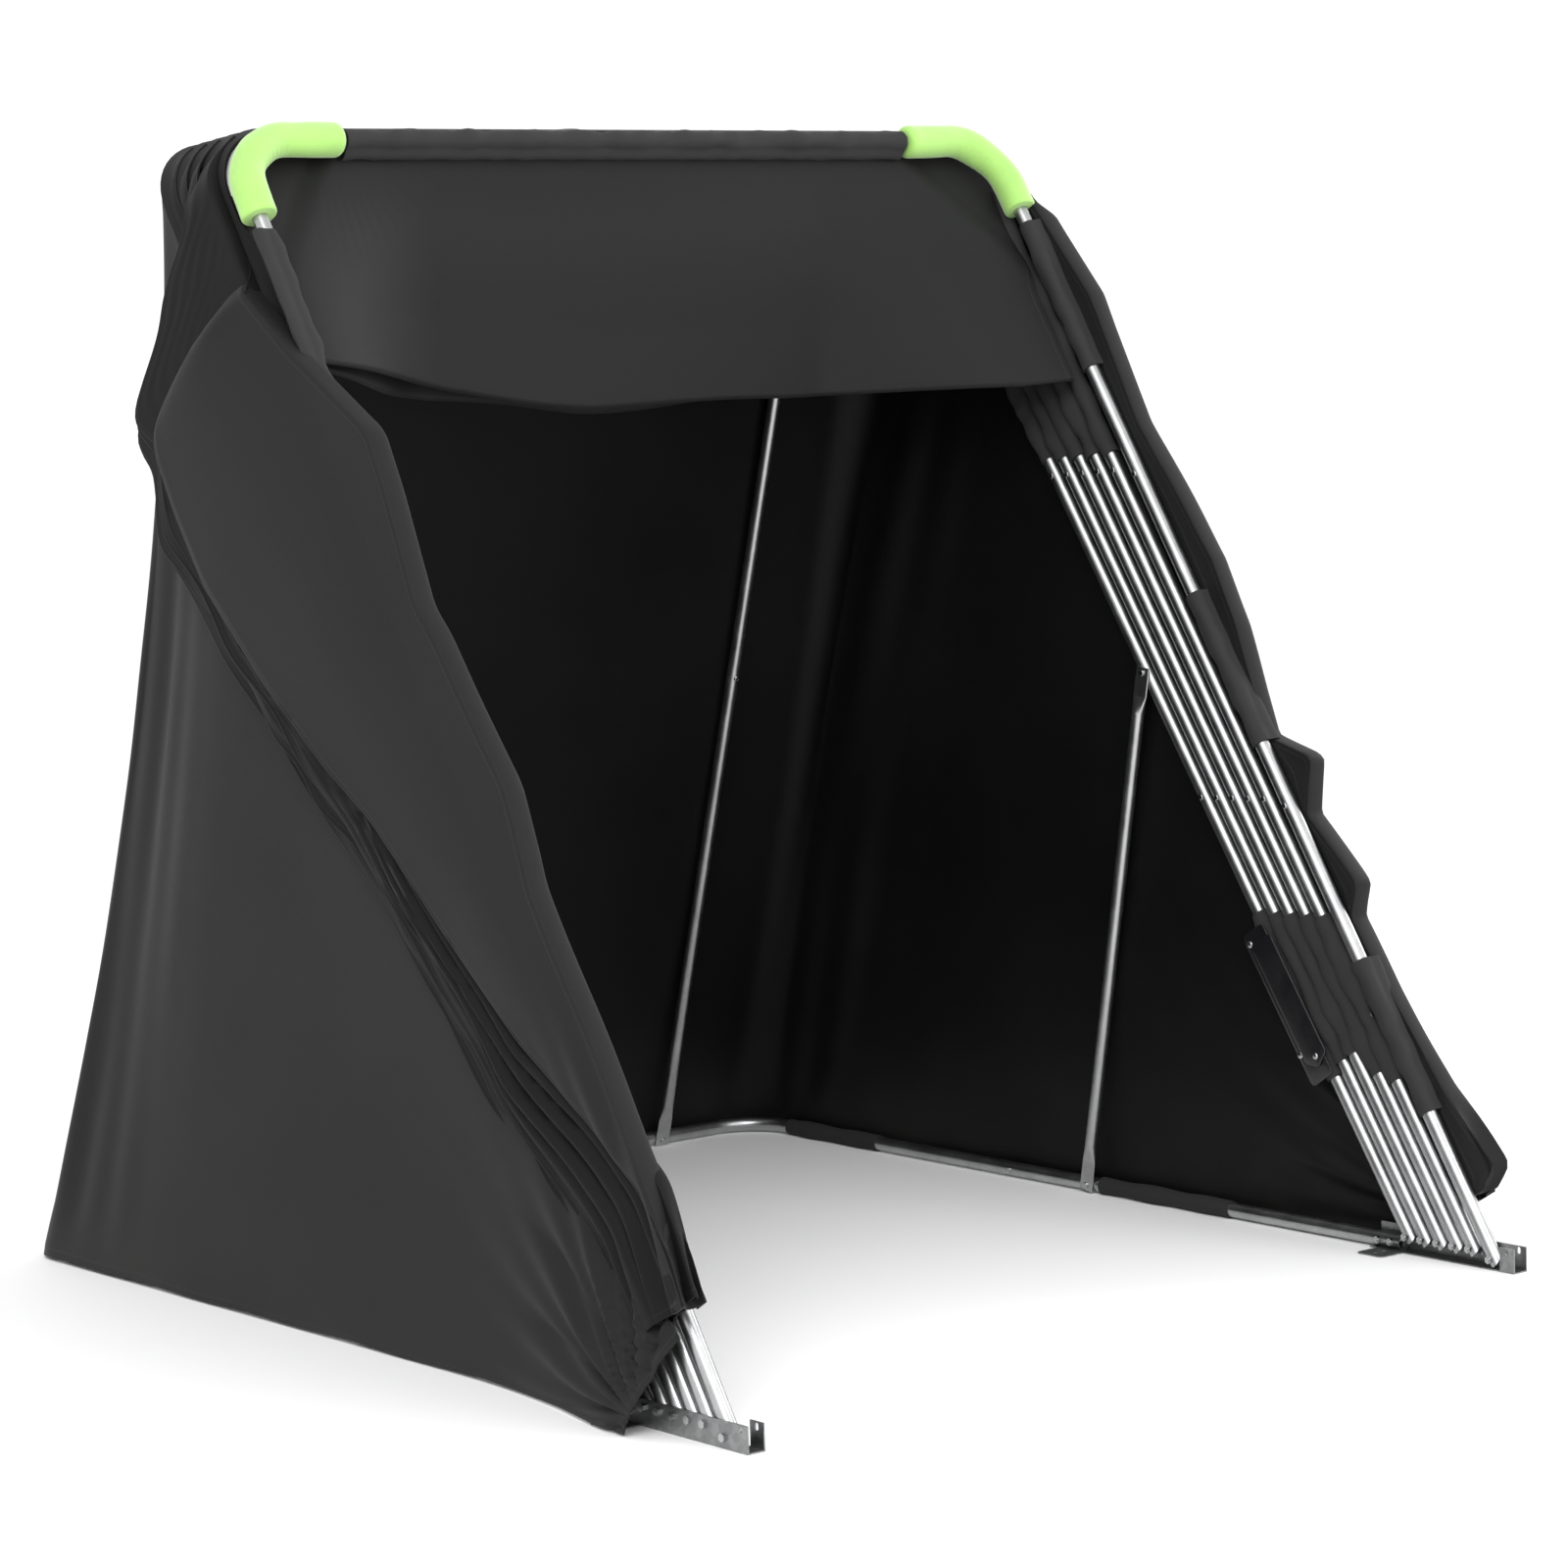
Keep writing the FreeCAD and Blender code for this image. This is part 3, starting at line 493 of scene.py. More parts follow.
def cover_grid(settings):
    """Ruled from the rear hoop's outline down to a round-cornered hem on the ground, then sagged and creased.

    point = (1 - v) top + v hem, pushed along its own normal by sag, folds and bulges.
    """
    s, v = column(0, 1, 361), row(0, 1, 91)
    low, corner = 0.135, 0.070
    x, along = arch(s, low, 0.0135)
    top = in_hoop(1, x, along, 0.003)
    up, angle, over = perimeter(s, low)
    rear = REAR_BAR + 0.0155
    start = FRONT + settings.hem_start
    flat = HALF + WALL_OUT - corner
    gx = (flat + corner * np.cos(angle)) - flat * over
    gy = start + (rear - corner - start) * up + corner * np.sin(angle)
    length = s * 5.0
    gz = 0.0035 + 0.0022 * (1 + ripples(length, 11, 7, 0.9, 0.28)) * 0.5
    hem = np.stack(np.broadcast_arrays(np.where(s < 0.5, -gx, gx), gy, gz), -1)
    near = np.minimum(s, 1 - s)
    foot = bump(near, 0, 0.050)
    top = top + foot[..., None] * np.array([0, -0.172, -0.008])
    grid = top + (hem - top) * v[..., None]
    normal = facing(grid)
    side = (angle <= 0) * np.ones_like(v)
    back = (over > 0) * np.ones_like(v)
    sag = settings.sag * (side * np.sin(pi * np.clip(up, 0, 1)) ** 0.8 * np.sin(pi * v) ** 0.9
                          + back * np.sin(pi / 2 * over) ** 0.6 * np.sin(pi * v) ** 0.9 * 1.2)
    hollow = np.sin(pi * v ** 0.85) ** 1.1 * bump(near, 0.345, 0.040)
    near_corner = bump(near, 0.325 + 0.012 * v, 0.030)
    length = s * 5.0 + 0 * v
    height = 1.6 * v + 0 * s
    folds = near_corner * (0.0036 * creases(length, height, 5, 5, 0.22, 0.10, fan=0.16)) * smooth(v / 0.25)
    broad = 0.0030 * creases(length, height, 21, 6, 2.4, 0.9) * np.sin(pi * np.clip(v, 0, 1)) ** 0.5
    fine = 0.0003 * creases(length, height, 31, 8, 0.5, 0.2) * smooth(v * (1 - v) * 8)
    bulge = foot * (0.012 + 0.020 * np.sin(pi * v) + 0.036 * smooth((v - 0.25) / 0.75))
    ahead, above = grid[..., 1] - (start - 0.03), grid[..., 2] - 0.03
    away = np.hypot(ahead, above)
    spoke = np.arctan2(above, ahead)
    rays = bump(away, 0.17, 0.16) * (0.0130 * (np.abs(np.sin(7.5 * spoke + 4.5 * away)) - 0.6)
                                     + 0.0045 * np.sin(31 * spoke - 14 * away))
    rays = rays * (near < 0.25)
    push = -sag - 0.052 * hollow + (folds + broad + fine) * smooth(np.minimum(v, 1.02 - v) * 9) + bulge \
        + rays * smooth(away / 0.07)
    edge = 1 - 0.75 * bump(v, 1, 0.03)
    grid = grid + normal * (push * edge + bulge * (1 - edge))[..., None]
    grid[..., 2] = np.maximum(grid[..., 2], 0.0025)
    return grid


def build_rear_cover(settings):
    grid = cover_grid(settings)
    piece = cloth_shell("rear_cover", grid, settings.cloth, cover_cloths(settings), hem=0.022)
    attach(piece, "base")
    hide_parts("cover_left_wall", "cover_rear_wall", "cover_right_wall")


# ---- The cloth between two hoops: a strip that opens, folds at both sides and a pleat under the roof

def apart(hoop):
    """How far the hoop behind lies from this hoop's plane at the top, and how much higher its bar is."""
    y, z = in_hoop(hoop - 1, 0.0, LEG, 0.0)[1:] - in_hoop(hoop, 0.0, LEG, 0.0)[1:]
    turn = radians(LEAN[hoop])
    return y * sin(turn) - z * cos(turn), y * cos(turn) + z * sin(turn)


PAD_ROOM = 0.0265           # the front strip opens behind the foam pads
STRIP_LOW = 0.155           # where the strips start along a leg
SNUG = 0.0150               # from a tube's centre line to cloth that is pulled tight over it


def strip_columns(hoop, count):
    """Where a strip's columns lie behind its hoop, so that they fan out evenly as it opens, and the blend's reach.

    The blend's weight is 3 t^2 - 2 t^3; columns are even steps of that weight from the rear hoop's share of the
    turn to 1, read back into t.
    """
    share = SHARE[hoop - 1] / SHARE[hoop]
    fine = np.linspace(0, 1, 2001)
    t = np.interp(np.linspace(share, 1, count), fine * fine * (3 - 2 * fine), fine)
    rigid = PAD_ROOM if hoop == 6 else 0.0
    reach = (apart(hoop)[0] - rigid) / (1 - t[0])
    behind = rigid + reach * (1 - t)
    if rigid:
        behind = np.concatenate([behind, rigid * np.array([0.66, 0.33, 0.0])])
    return behind, reach, rigid


def strip_grid(hoop, settings):
    """A narrow band round a hoop's outline: in hoop coordinates, along and x follow the outline grown by the
    cloth's clearance, behind runs from the rear hoop to this one, and the cloth dips between the two."""
    s = column(0, 1, 421)
    behind, reach, rigid = strip_columns(hoop, 13)
    depth, rise = apart(hoop)
    t = (1 - behind / depth)[None]
    dip = settings.dip * np.sin(pi * t) * (1 + 0.35 * ripples(s * 5.1, 40 + hoop, 5, 0.7, 0.2))
    grow = SNUG + 0.0026 * (1 - t) - dip * 0.8
    end = behind[None] + 0 * s
    if hoop == 6:
        pad = smooth((s - 0.325) / 0.012) * smooth((0.425 - s) / 0.008)
        pad = pad + smooth((s - 0.575) / 0.008) * smooth((0.675 - s) / 0.012)
        end = np.maximum(end, rigid * pad + 0.0006 * (t - 1) * pad)
    x, along = arch(s, STRIP_LOW, grow)
    ruffle = 0.0022 * creases(s * 5.1, behind[None], 60 + hoop, 9, 0.3, 0.05, fan=0.4) * np.sin(pi * t)
    grid = in_hoop(hoop, x, along + rise * end / depth + ruffle, end)
    return grid, reach, rigid


def build_strip(hoop, settings):
    grid, reach, rigid = strip_grid(hoop, settings)
    piece = cloth_shell(f"gusset_{hoop}_strip", grid[:, ::-1], settings.cloth, cover_cloths(settings),
                        seam=np.zeros(grid.shape[:2]))
    end = in_hoop(hoop, 0.0, 0.0, rigid)
    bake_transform(piece)
    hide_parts(f"gusset_{hoop}")


# Both edges of the front hoop's flaps on the left (-1) and the right (1): places along the leg and behind it
FLAP_REAR = {
    -1: np.array([(0.128, -0.072), (0.199, -0.070), (0.305, -0.058), (0.411, -0.015), (0.566, 0.058),
        (0.741, 0.115), (0.940, 0.174), (1.055, 0.228), (1.218, 0.285), (1.381, 0.328), (1.504, 0.333),
        (1.590, 0.328), (1.626, 0.308), (1.642, 0.245), (1.672, 0.139), (1.694, 0.082), (1.705, 0.074)]),
    1: np.array([(0.09, 0.050), (0.300, 0.080), (0.566, 0.110), (0.741, 0.135), (0.940, 0.180),
        (1.055, 0.228), (1.218, 0.285), (1.381, 0.328), (1.504, 0.333), (1.590, 0.328), (1.630, 0.312),
        (1.645, 0.245), (1.680, 0.139), (1.702, 0.082), (1.780, 0.060)]),
}
FLAP_FRONT = {
    -1: np.array([(0.128, -0.076), (0.197, -0.086), (0.394, -0.082), (0.529, -0.079), (0.714, -0.074),
        (0.844, -0.100), (1.068, -0.082), (1.117, -0.071), (1.275, -0.096), (1.359, -0.102), (1.538, -0.010),
        (1.695, 0.046), (1.705, 0.048)]),
    1: np.array([(0.090, -0.010), (0.118, -0.054), (0.250, -0.030), (0.420, -0.014), (0.535, -0.005),
        (0.570, -0.040), (0.585, -0.038), (0.701, -0.010), (0.762, -0.062), (0.775, -0.056), (0.835, -0.002),
        (1.000, -0.038), (1.107, -0.049), (1.359, -0.028), (1.573, -0.046), (1.700, -0.024),
        (1.780, -0.012)]),
}
FLAP_LOW, FLAP_TOP, FLAP_ROUNDING = {-1: 0.150, 1: 0.094}, {-1: 1.703, 1: 1.775}, {-1: 0.014, 1: 0.004}
# The rear edge of the innermost pleat, and how far each further one stays short of it
PLEAT_REAR = np.array([(0.10, 0.082), (0.209, 0.096), (0.276, 0.100), (0.374, 0.138), (0.528, 0.196),
                       (0.670, 0.214), (0.851, 0.262), (0.968, 0.290), (1.076, 0.326), (1.219, 0.366),
                       (1.348, 0.392), (1.500, 0.436), (1.550, 0.424), (1.607, 0.396), (1.637, 0.402),
                       (1.672, 0.394), (1.728, 0.263), (1.774, 0.212), (1.813, 0.128), (1.873, 0.099),
                       (1.930, 0.075), (2.00, 0.06)])
SHORT = {2: 0.0, 3: 0.018, 4: 0.036, 5: 0.060}
PLEAT_LOW, PLEAT_TOP = 0.128, 1.885
PLEAT_FORWARD = {2: 0.010, 3: 0.030, 4: 0.060, 5: 0.104}    # how far a pleat's foot reaches in front of its leg
FIRST_LAYER, LAYER_STEP = 0.0160, 0.0062    # from a leg's centre line to the rearmost fold, and more per hoop


def edge_line(table, along, rounding=0.014):
    """A line through a table of places: straight runs, then rounded by averaging five near readings."""
    reads = [np.interp(along + d * rounding, table[:, 0], table[:, 1]) for d in (-1, -0.5, 0, 0.5, 1)]
    return sum(reads) / 5


def fold_section(front, rear, start, clear, settings, wrap, slope=0.05, bulge=0.0):
    """One cross-section of doubled cloth for every row: distance behind the leg, and outwards from it.

    In along the inner layer, round the rear fold, back over the outer layer and, where it wraps, round the
    front fold to the leg. The layers lie at clear + slope * behind, and bulge by a half sine between the folds.
    """
    loop = settings.loop * (0.6 if wrap else 1.0)
    one = np.ones_like(front)
    t = row(0, 1, 20)
    arc = row(-pi / 2, pi / 2, 9)
    width = np.maximum(rear - front, 0.02)

    def lie(b):
        return clear + slope * np.maximum(b, -0.02) + bulge * np.sin(pi * np.clip((b - front) / width, 0, 1)) ** 1.3

    first = np.minimum(start * one, rear - 2.5 * loop)
    b_in = first + (rear - loop - first) * t
    b_loop = rear - loop + loop * np.cos(arc)
    last = front + (loop if wrap else 0.0)
    tt = row(0, 1, 34)
    b_out = rear - loop + (last - (rear - loop)) * tt
    gap = 0.0038 + (2 * loop - 0.0038) * smooth(1 - (rear - loop - b_in) / 0.05)
    g = [lie(b_in) - gap, lie(rear - loop) - loop + loop * np.sin(arc), lie(b_out)]
    b = [b_in, b_loop, b_out]
    if wrap:
        back = row(pi / 2, 3 * pi / 2, 11)
        inside = 0.0145
        mid = (lie(last) + inside) / 2
        b.append(last + loop * np.cos(back))
        g.append(mid + (lie(last) - mid) * np.sin(back))
        ttt = row(0.05, 1, 10)
        goal = np.maximum(np.minimum(-0.002 + 0 * last, rear - loop - 0.004), last + 0.004)
        b.append(last + (goal - last) * ttt)
        g.append(inside + 0 * last * ttt)
    return tuple(np.concatenate([part + 0 * one for part in parts], 1) for parts in (b, g))


def side_fold_grid(hoop, side, settings):
    """Rows run up the leg and on into the corner; columns run round the folded cross-section."""
    flap = hoop == 6
    low, top = (FLAP_LOW[side], FLAP_TOP[side]) if flap else (PLEAT_LOW, PLEAT_TOP)
    along = column(low, top, 210)
    seed = 100 + 10 * hoop + int(side)
    if flap:
        rear = edge_line(FLAP_REAR[side], along)
        front = edge_line(FLAP_FRONT[side], along, FLAP_ROUNDING[side])
    else:
        shift = in_hoop(hoop, 0.0, along[:, 0], 0.0)[:, 1:] - np.array(PIVOT[6])
        turn = radians(LEAN[6])
        along_6 = shift[:, :1] * cos(turn) + shift[:, 1:] * sin(turn)
        behind_6 = shift[:, :1] * sin(turn) - shift[:, 1:] * cos(turn)
        short = SHORT[hoop] * (1 - 0.75 * smooth((along_6 - 1.60) / 0.12)) * (0.55 + 0.45 * smooth(along_6 / 0.5))
        rear = edge_line(PLEAT_REAR, along_6) - behind_6 - short
        rear = rear + 0.004 * ripples(along, 70 + hoop + side, 5, 0.5, 0.12)
        rear = np.maximum(rear, 0.020)
        front = -0.004 - PLEAT_FORWARD[hoop] * (1 - smooth((along - 0.17) / 0.20))
        if side > 0:
            front = np.maximum(front, -0.05)
        elif hoop == 5:
            front = np.minimum(front, edge_line(FLAP_REAR[side], along_6) - behind_6 - 0.030)
            front = np.where(along_6 > 0.6, -0.004, np.maximum(front, -0.125))
    rear = np.maximum(rear, front + 0.014)
    clear = FIRST_LAYER + LAYER_STEP * (hoop - 2) + (0.005 if flap else 0.0)
    wrap = flap or hoop == 5
    b, g = fold_section(front, rear, apart(hoop)[0] * 0.8, clear, settings, wrap, bulge=0.007 if flap else 0.001)
    out = row(0, 1, b.shape[1])
    outer = smooth((out - 0.3) / 0.12)
    if flap:
        wave = 0.0026 * creases(along + 0 * b, b, seed, 6, 1.1, 0.45)
        wave = wave + 0.0010 * creases(along + 0 * b, b, seed + 1, 7, 0.4, 0.18)
        wave = np.maximum(wave, -0.002)
        wave = wave + 0.0040 * (1 - smooth((along - 0.25) / 0.35)) * np.sin(2 * pi * b / 0.045 + 2.0 * along)
    else:
        pitch = 0.030 + 0.004 * (hoop % 3)
        drift = 0.8 * ripples(along, seed + 2, 4, 0.9, 0.3)
        wave = 0.0022 * np.sin(2 * pi * (b - rear) / pitch + drift) * smooth((b + 0.02) / 0.05)
        wave = wave + 0.0010 * creases(along + 0 * b, b, seed, 7, 0.4, 0.12)
        wave = np.clip(wave, -0.0030, 0.0022) * (0.25 + 0.75 * smooth((1.62 - along) / 0.12))
        if hoop == 5:
            shown = edge_line(FLAP_REAR[side], along_6) - behind_6
            width = np.maximum(rear - shown, 0.01)
            share = (b - shown) / width
            height = 0.014 * np.clip(width / 0.09, 0.15, 1) * smooth((1.35 - along) / 0.25)
            folds = np.abs(np.sin(pi * (3.6 * share + 0.35 * drift))) ** 0.8 - 0.25
            wave = wave + height * folds * smooth(share * 5 + 0.4) * smooth((1.02 - share) * 9)
    g = g + wave * (0.15 + 0.85 * outer)
    if flap:
        g = g - (g - SNUG) * 0.75 * smooth((along - top + 0.050) / 0.045)
    else:
        g = g - (g - SNUG) * 0.92 * smooth((along - 1.790) / 0.085)
    g = np.maximum(g, 0.0140)
    foot = 1 - smooth((along - low) / 0.16)
    b = b * (1 - (0.25 if side < 0 else 0.0) * foot) + 0.010 * foot * np.sin(out * 40 + hoop)
    x, up = arch((along - low) / (2 * (LEG - BEND - low) + BEND * pi + 2 * (HALF - BEND)), low, g)
    seam = np.minimum(rear - b, b - front) if flap else rear - b
    return in_hoop(hoop, side * np.abs(x), up, b), np.abs(seam)


def build_side_folds(hoop, side, settings):
    name = f"gusset_{hoop}_{'left' if side < 0 else 'right'}_folds"
    grid, seam = side_fold_grid(hoop, side, settings)
    shown, sewn = (grid, seam) if side > 0 else (grid[:, ::-1], seam[:, ::-1])
    # the folds behind the front hoop get the cloth with painted shade
    cloths = cover_cloths(settings) if hoop == 6 else fold_cloths_painted_shade(settings)
    piece = cloth_shell(name, shown, settings.cloth, cloths, hem=0.014, seam=sewn)
    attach(piece, f"hoop_{hoop}")
    anchor = in_hoop(hoop, np.array(side * (HALF + 0.016)), 0.9, 0.0065)
    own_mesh(piece)
    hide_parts(f"gusset_{hoop}")


# The lower edge of the cloth that hangs under the front bars, as x and z, and how much higher each gap's is
ROOF_TRIM = {6: 0.0, 5: -0.011, 4: 0.030, 3: 0.012, 2: 0.040}
HANG_LOW = np.array([(-0.66, 1.318), (-0.468, 1.287), (-0.328, 1.266), (-0.071, 1.243), (0.109, 1.237),
                     (0.285, 1.235), (0.587, 1.243), (0.66, 1.252)])


def roof_pleat_grid(hoop):
    """The doubled cloth that hangs between two bars: down the front layer, round its lower fold and up again.

    z runs from the bars to the lower edge; x = u times the hoop's half-width at that height. In the middle
    the cloth hangs straight down, and towards the legs it swings forward into the gap between the two hoops.
    """
    u = column(-1, 1, 221)
    u = np.sign(u) * np.abs(u) ** 0.85
    y_front, z_front = in_hoop(hoop, 0.0, LEG, 0.0)[1:]
    y_rear, z_rear = in_hoop(hoop - 1, 0.0, LEG, 0.0)[1:]
    turn = radians(LEAN[hoop])
    t = row(0, 1, 44)
    arc = row(0, pi, 9)
    top = min(z_front, z_rear) + 0.008
    near = y_front + 0.0165
    far = max(y_rear - 0.0165, near + 0.003)
    trim = ROOF_TRIM[hoop]
    sink = np.concatenate([t, 1 + 0 * arc, t[:, ::-1]], 1)
    guess = u * 0.66
    low = np.interp(guess, HANG_LOW[:, 0], HANG_LOW[:, 1]) + trim
    low = low + 0.003 * ripples(guess, 200 + hoop, 5, 0.9, 0.3)
    if hoop == 5:
        low = low + 0.022 * smooth((guess + 0.1) / 0.5)
    z = top + (low - top) * sink
    along = (z - PIVOT[hoop][1]) / sin(turn)
    rise = np.clip((along - (LEG - BEND)) / (BEND + 0.003), 0, 0.999)
    wide = HALF - BEND + (BEND + 0.004) * np.sqrt(1 - rise ** 2)
    wide = wide - 0.028 * (1 - smooth((along - 1.60) / 0.10))
    wide = np.where(sink > 0, wide, np.minimum(wide, HALF - BEND + 0.03))
    x = u * wide
    y_leg = PIVOT[hoop][0] + (z - PIVOT[hoop][1]) / tan(turn) + 0.55 * apart(hoop)[0] / sin(turn)
    fat = 0.0035 + 0.008 * np.sin(pi * np.clip(sink, 0, 1)) ** 2 + 0.003 * smooth(sink * 3 - 2)
    swing = smooth((np.abs(x) - 0.34) / 0.33)
    middle = (near + far) / 2 + 0.008 * smooth(sink)
    fold_back = 0.0
    if hoop == 6:
        line = (np.abs(x) - 0.500) * 1.15 - (top - z)
        fold_back = 0.013 * smooth(line / 0.05 + 0.5) * smooth(sink * 12)
    middle = middle + (y_leg - middle) * swing + fold_back
    half = np.where(sink < 0.08, (far - near) / 2, np.maximum((far - near) / 2, fat))
    half = half * (1 - swing) + 0.0025 * swing
    layer = np.concatenate([-1 + 0 * t, -np.cos(arc), 1 + 0 * t], 1)
    z = z - np.concatenate([0 * t, 0.006 * np.sin(arc), 0 * t], 1)
    wave = 0.0030 * creases(x, z, 220 + hoop, 6, 1.3, 0.6) + 0.0005 * creases(x, z, 240 + hoop, 8, 0.35, 0.15)
    rays = 0.0009 * np.sin(46 * np.arctan2(top - z + 0.02, 0.52 - np.abs(x))) \
        * bump(np.hypot(top - z, np.abs(x) - 0.50), 0.06, 0.07)
    y = middle + half * layer + (wave + rays) * smooth(sink * 2.5) * (1 - 0.7 * swing)
    return np.stack(np.broadcast_arrays(x, y, z), -1)


def build_roof_pleat(hoop, settings):
    grid = roof_pleat_grid(hoop)
    piece = cloth_shell(f"gusset_{hoop}_roof_pleat", grid[:, ::-1], settings.cloth, cover_cloths(settings), hem=0.010)
    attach(piece, f"hoop_{hoop}")
    anchor = in_hoop(hoop, 0.0, LEG - 0.016, 0.0)
    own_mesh(piece)
    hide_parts(f"gusset_{hoop}")


# ---- Sleeves, pads and the strap

SLEEVE_CLOTH = 0.0011
SLEEVE_FOOT = {1: 0.254, 2: 0.284, 3: 0.300, 4: 0.270, 5: 0.262, 6: 0.226}  # where the lowest sleeves start


def sleeve_part(start, end, way, tail, seed, radius=0.0132, loose=1.0):
    """A sewn loop of cloth round a tube: a circle drawn out to a tail on one side, where the cover is sewn on.

    radius = r + (tail - r) e^-(angle / 0.42)^2, with creases that run round it and a turned hem at each end.
    """
    start, end, way = (np.asarray(q, float) for q in (start, end, way))
    run = end - start
    length = np.linalg.norm(run)
    axis = run / length
    way = way - axis * (way @ axis)
    way = way / np.linalg.norm(way)
    across = np.cross(axis, way)
    rows = max(int(length / 0.008), 8)
    t = column(0, 1, rows)
    angle = row(0, 2 * pi, 40, endpoint=False)
    off = np.minimum(angle, 2 * pi - angle)
    r = radius + (tail - radius) * np.exp(-((off / 0.42) ** 2))
    crease = creases(t * length, angle * 0.013, seed, 7, 0.12, 0.03, fan=1.6)
    r = r + 0.0009 * loose * crease * (1 - np.exp(-((off / 0.3) ** 2)) * 0.5)
    droop = 1 + ripples(t * length, seed + 1, 4, 0.3, 0.08)
    r = r + 0.0016 * loose * smooth(np.sin(pi * t) * 3) * bump(off, 1.9, 0.8) * droop
    centre = start + run * t
    return centre[:, None] + r[..., None] * (np.cos(angle)[..., None] * way + np.sin(angle)[..., None] * across)


def build_sleeves(name, grids, settings, body, node):
    """Joins sleeves into one piece."""
    piece = join(name, [cloth_shell(f"{name}_{n}", grid, SLEEVE_CLOTH, sleeve_cloths(settings), wrap=True, hem=0.012)
                        for n, grid in enumerate(grids)])
    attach(piece, body)
    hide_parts(node)


def hoop_sleeve_grids(hoop):
    """Two or three sleeves up each leg, given as from and to along it, then the one on the bar."""
    foot = SLEEVE_FOOT[hoop]
    legs = ((foot, 0.467), (0.824, 1.076), (1.470, 1.729)) if hoop == 6 else ((foot, 0.525), (1.312, 1.780))
    grids = []
    for n, (a, b) in enumerate(legs):
        for side in (-1, 1):
            start = in_hoop(hoop, np.array(side * HALF), a, 0.0)
            end = in_hoop(hoop, np.array(side * HALF), b, 0.0)
            way = way_in_hoop(hoop, 0.0, -0.45 if hoop == 6 else 0.3) + np.array([side * 1.0, 0, 0])
            tail = 0.028 if hoop == 6 else 0.0165
            grids.append(sleeve_part(start, end, way, tail, 300 + 10 * hoop + n + side))
    half = {6: 0.504, 1: 0.440}.get(hoop, 0.580)
    start, end = in_hoop(hoop, np.array(-half), LEG, 0.0), in_hoop(hoop, np.array(half), LEG, 0.0)
    if hoop == 6:
        way, tail = np.array([0.0, 0.22, -1.0]), 0.027
    else:
        way, tail = way_in_hoop(hoop, 1.0, 0.15), 0.0150
    grids.append(sleeve_part(start, end, way, tail, 390 + hoop))
    return grids


def build_hoop_sleeves(hoop, settings):
    build_sleeves(f"hoop_{hoop}_cloth_sleeves", hoop_sleeve_grids(hoop), settings,
                  "base" if hoop == 1 else f"hoop_{hoop}", f"hoop_{hoop}_sleeves")


def build_ground_sleeves(settings):
    grids = []
    for y0, y1 in ((0.516, 0.791), (1.321, 1.545)):
        for side in (-1, 1):
            start = (side * HALF, FRONT + y0, GROUND_Z)
            end = (side * HALF, FRONT + y1, GROUND_Z)
            grids.append(sleeve_part(start, end, (side, 0, -0.25), 0.0135, 410 + side, 0.0122, 0.35))
    grids.append(sleeve_part((-0.26, REAR_BAR, GROUND_Z), (0.26, REAR_BAR, GROUND_Z), (0, 1, -0.25), 0.0135, 420,
                             0.0122, 0.35))
    for g in grids:
        g[..., 2] = np.maximum(g[..., 2], 0.0008)
    build_sleeves("ground_cloth_sleeves", grids, settings, "base", "ground_sleeves")


def pad_grid(side, settings):
    """A foam tube bent round the front hoop's corner, as rings along its centre line, closed through its bore.

    Rings follow the leg, the bend and the bar; their radius runs up a rounded end, along the skin and back
    through the bore. The skin is pinched where the foam is squeezed inside the bend.
    """
    leg, bar = 0.035, HALF - BEND - 0.510
    total = leg + CORNER + bar
    full, bore = settings.pad_radius, 0.0113
    arc = np.linspace(0, pi / 2, 7)
    low_r, high_r = 0.004, 0.0105
    run = np.linspace(low_r, total - high_r, 90)
    d = np.concatenate([[0.0, 0.0], low_r - low_r * np.cos(arc), run[1:-1],
                        total - high_r + high_r * np.sin(arc), [total, total], np.linspace(total - 0.02, 0.02, 12)])
    r = np.concatenate([[bore, (bore + full - low_r) / 2], full - low_r + low_r * np.sin(arc), full + 0 * run[1:-1],
                        full - high_r + high_r * np.cos(arc), [(bore + full - high_r) / 2, bore], np.full(12, bore)])
    d, r = d[:, None], r[:, None]
    phi = row(0, 2 * pi, 56, endpoint=False)
    skin = smooth((r - 0.018) / 0.004)
    inner_bend = bump(d, leg + CORNER / 2, 0.045) * bump(phi, pi, 0.9)
    r = r + skin * (-0.0016 * inner_bend + 0.0006 * inner_bend * np.sin(d / 0.0021)
                    + 0.0005 * creases(d, phi * 0.024, 500 + int(side), 8, 0.12, 0.04))
    angle = np.clip((d - leg) / CORNER, 0, 1) * pi / 2
    over = np.clip(d - leg - CORNER, 0, None)
    reach = r * np.cos(phi)
    x = HALF - BEND + (BEND + reach) * np.cos(angle) - over
    along = LEG - BEND - leg + np.clip(d, 0, leg) + (BEND + reach) * np.sin(angle)
    return in_hoop(6, side * x, along, r * np.sin(phi))


def build_pads(settings):
    skin = material("pad_foam_skin", foam, settings.foam_colour)
    for side, word in ((-1, "left"), (1, "right")):
        grid = pad_grid(side, settings)
        piece = solid(f"foam_pad_{word}", grid, grid_uv(grid, True, True), skin, wrap_rows=True, sharp=70)
        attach(piece, "hoop_6")
        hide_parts(f"corner_pad_{word}")


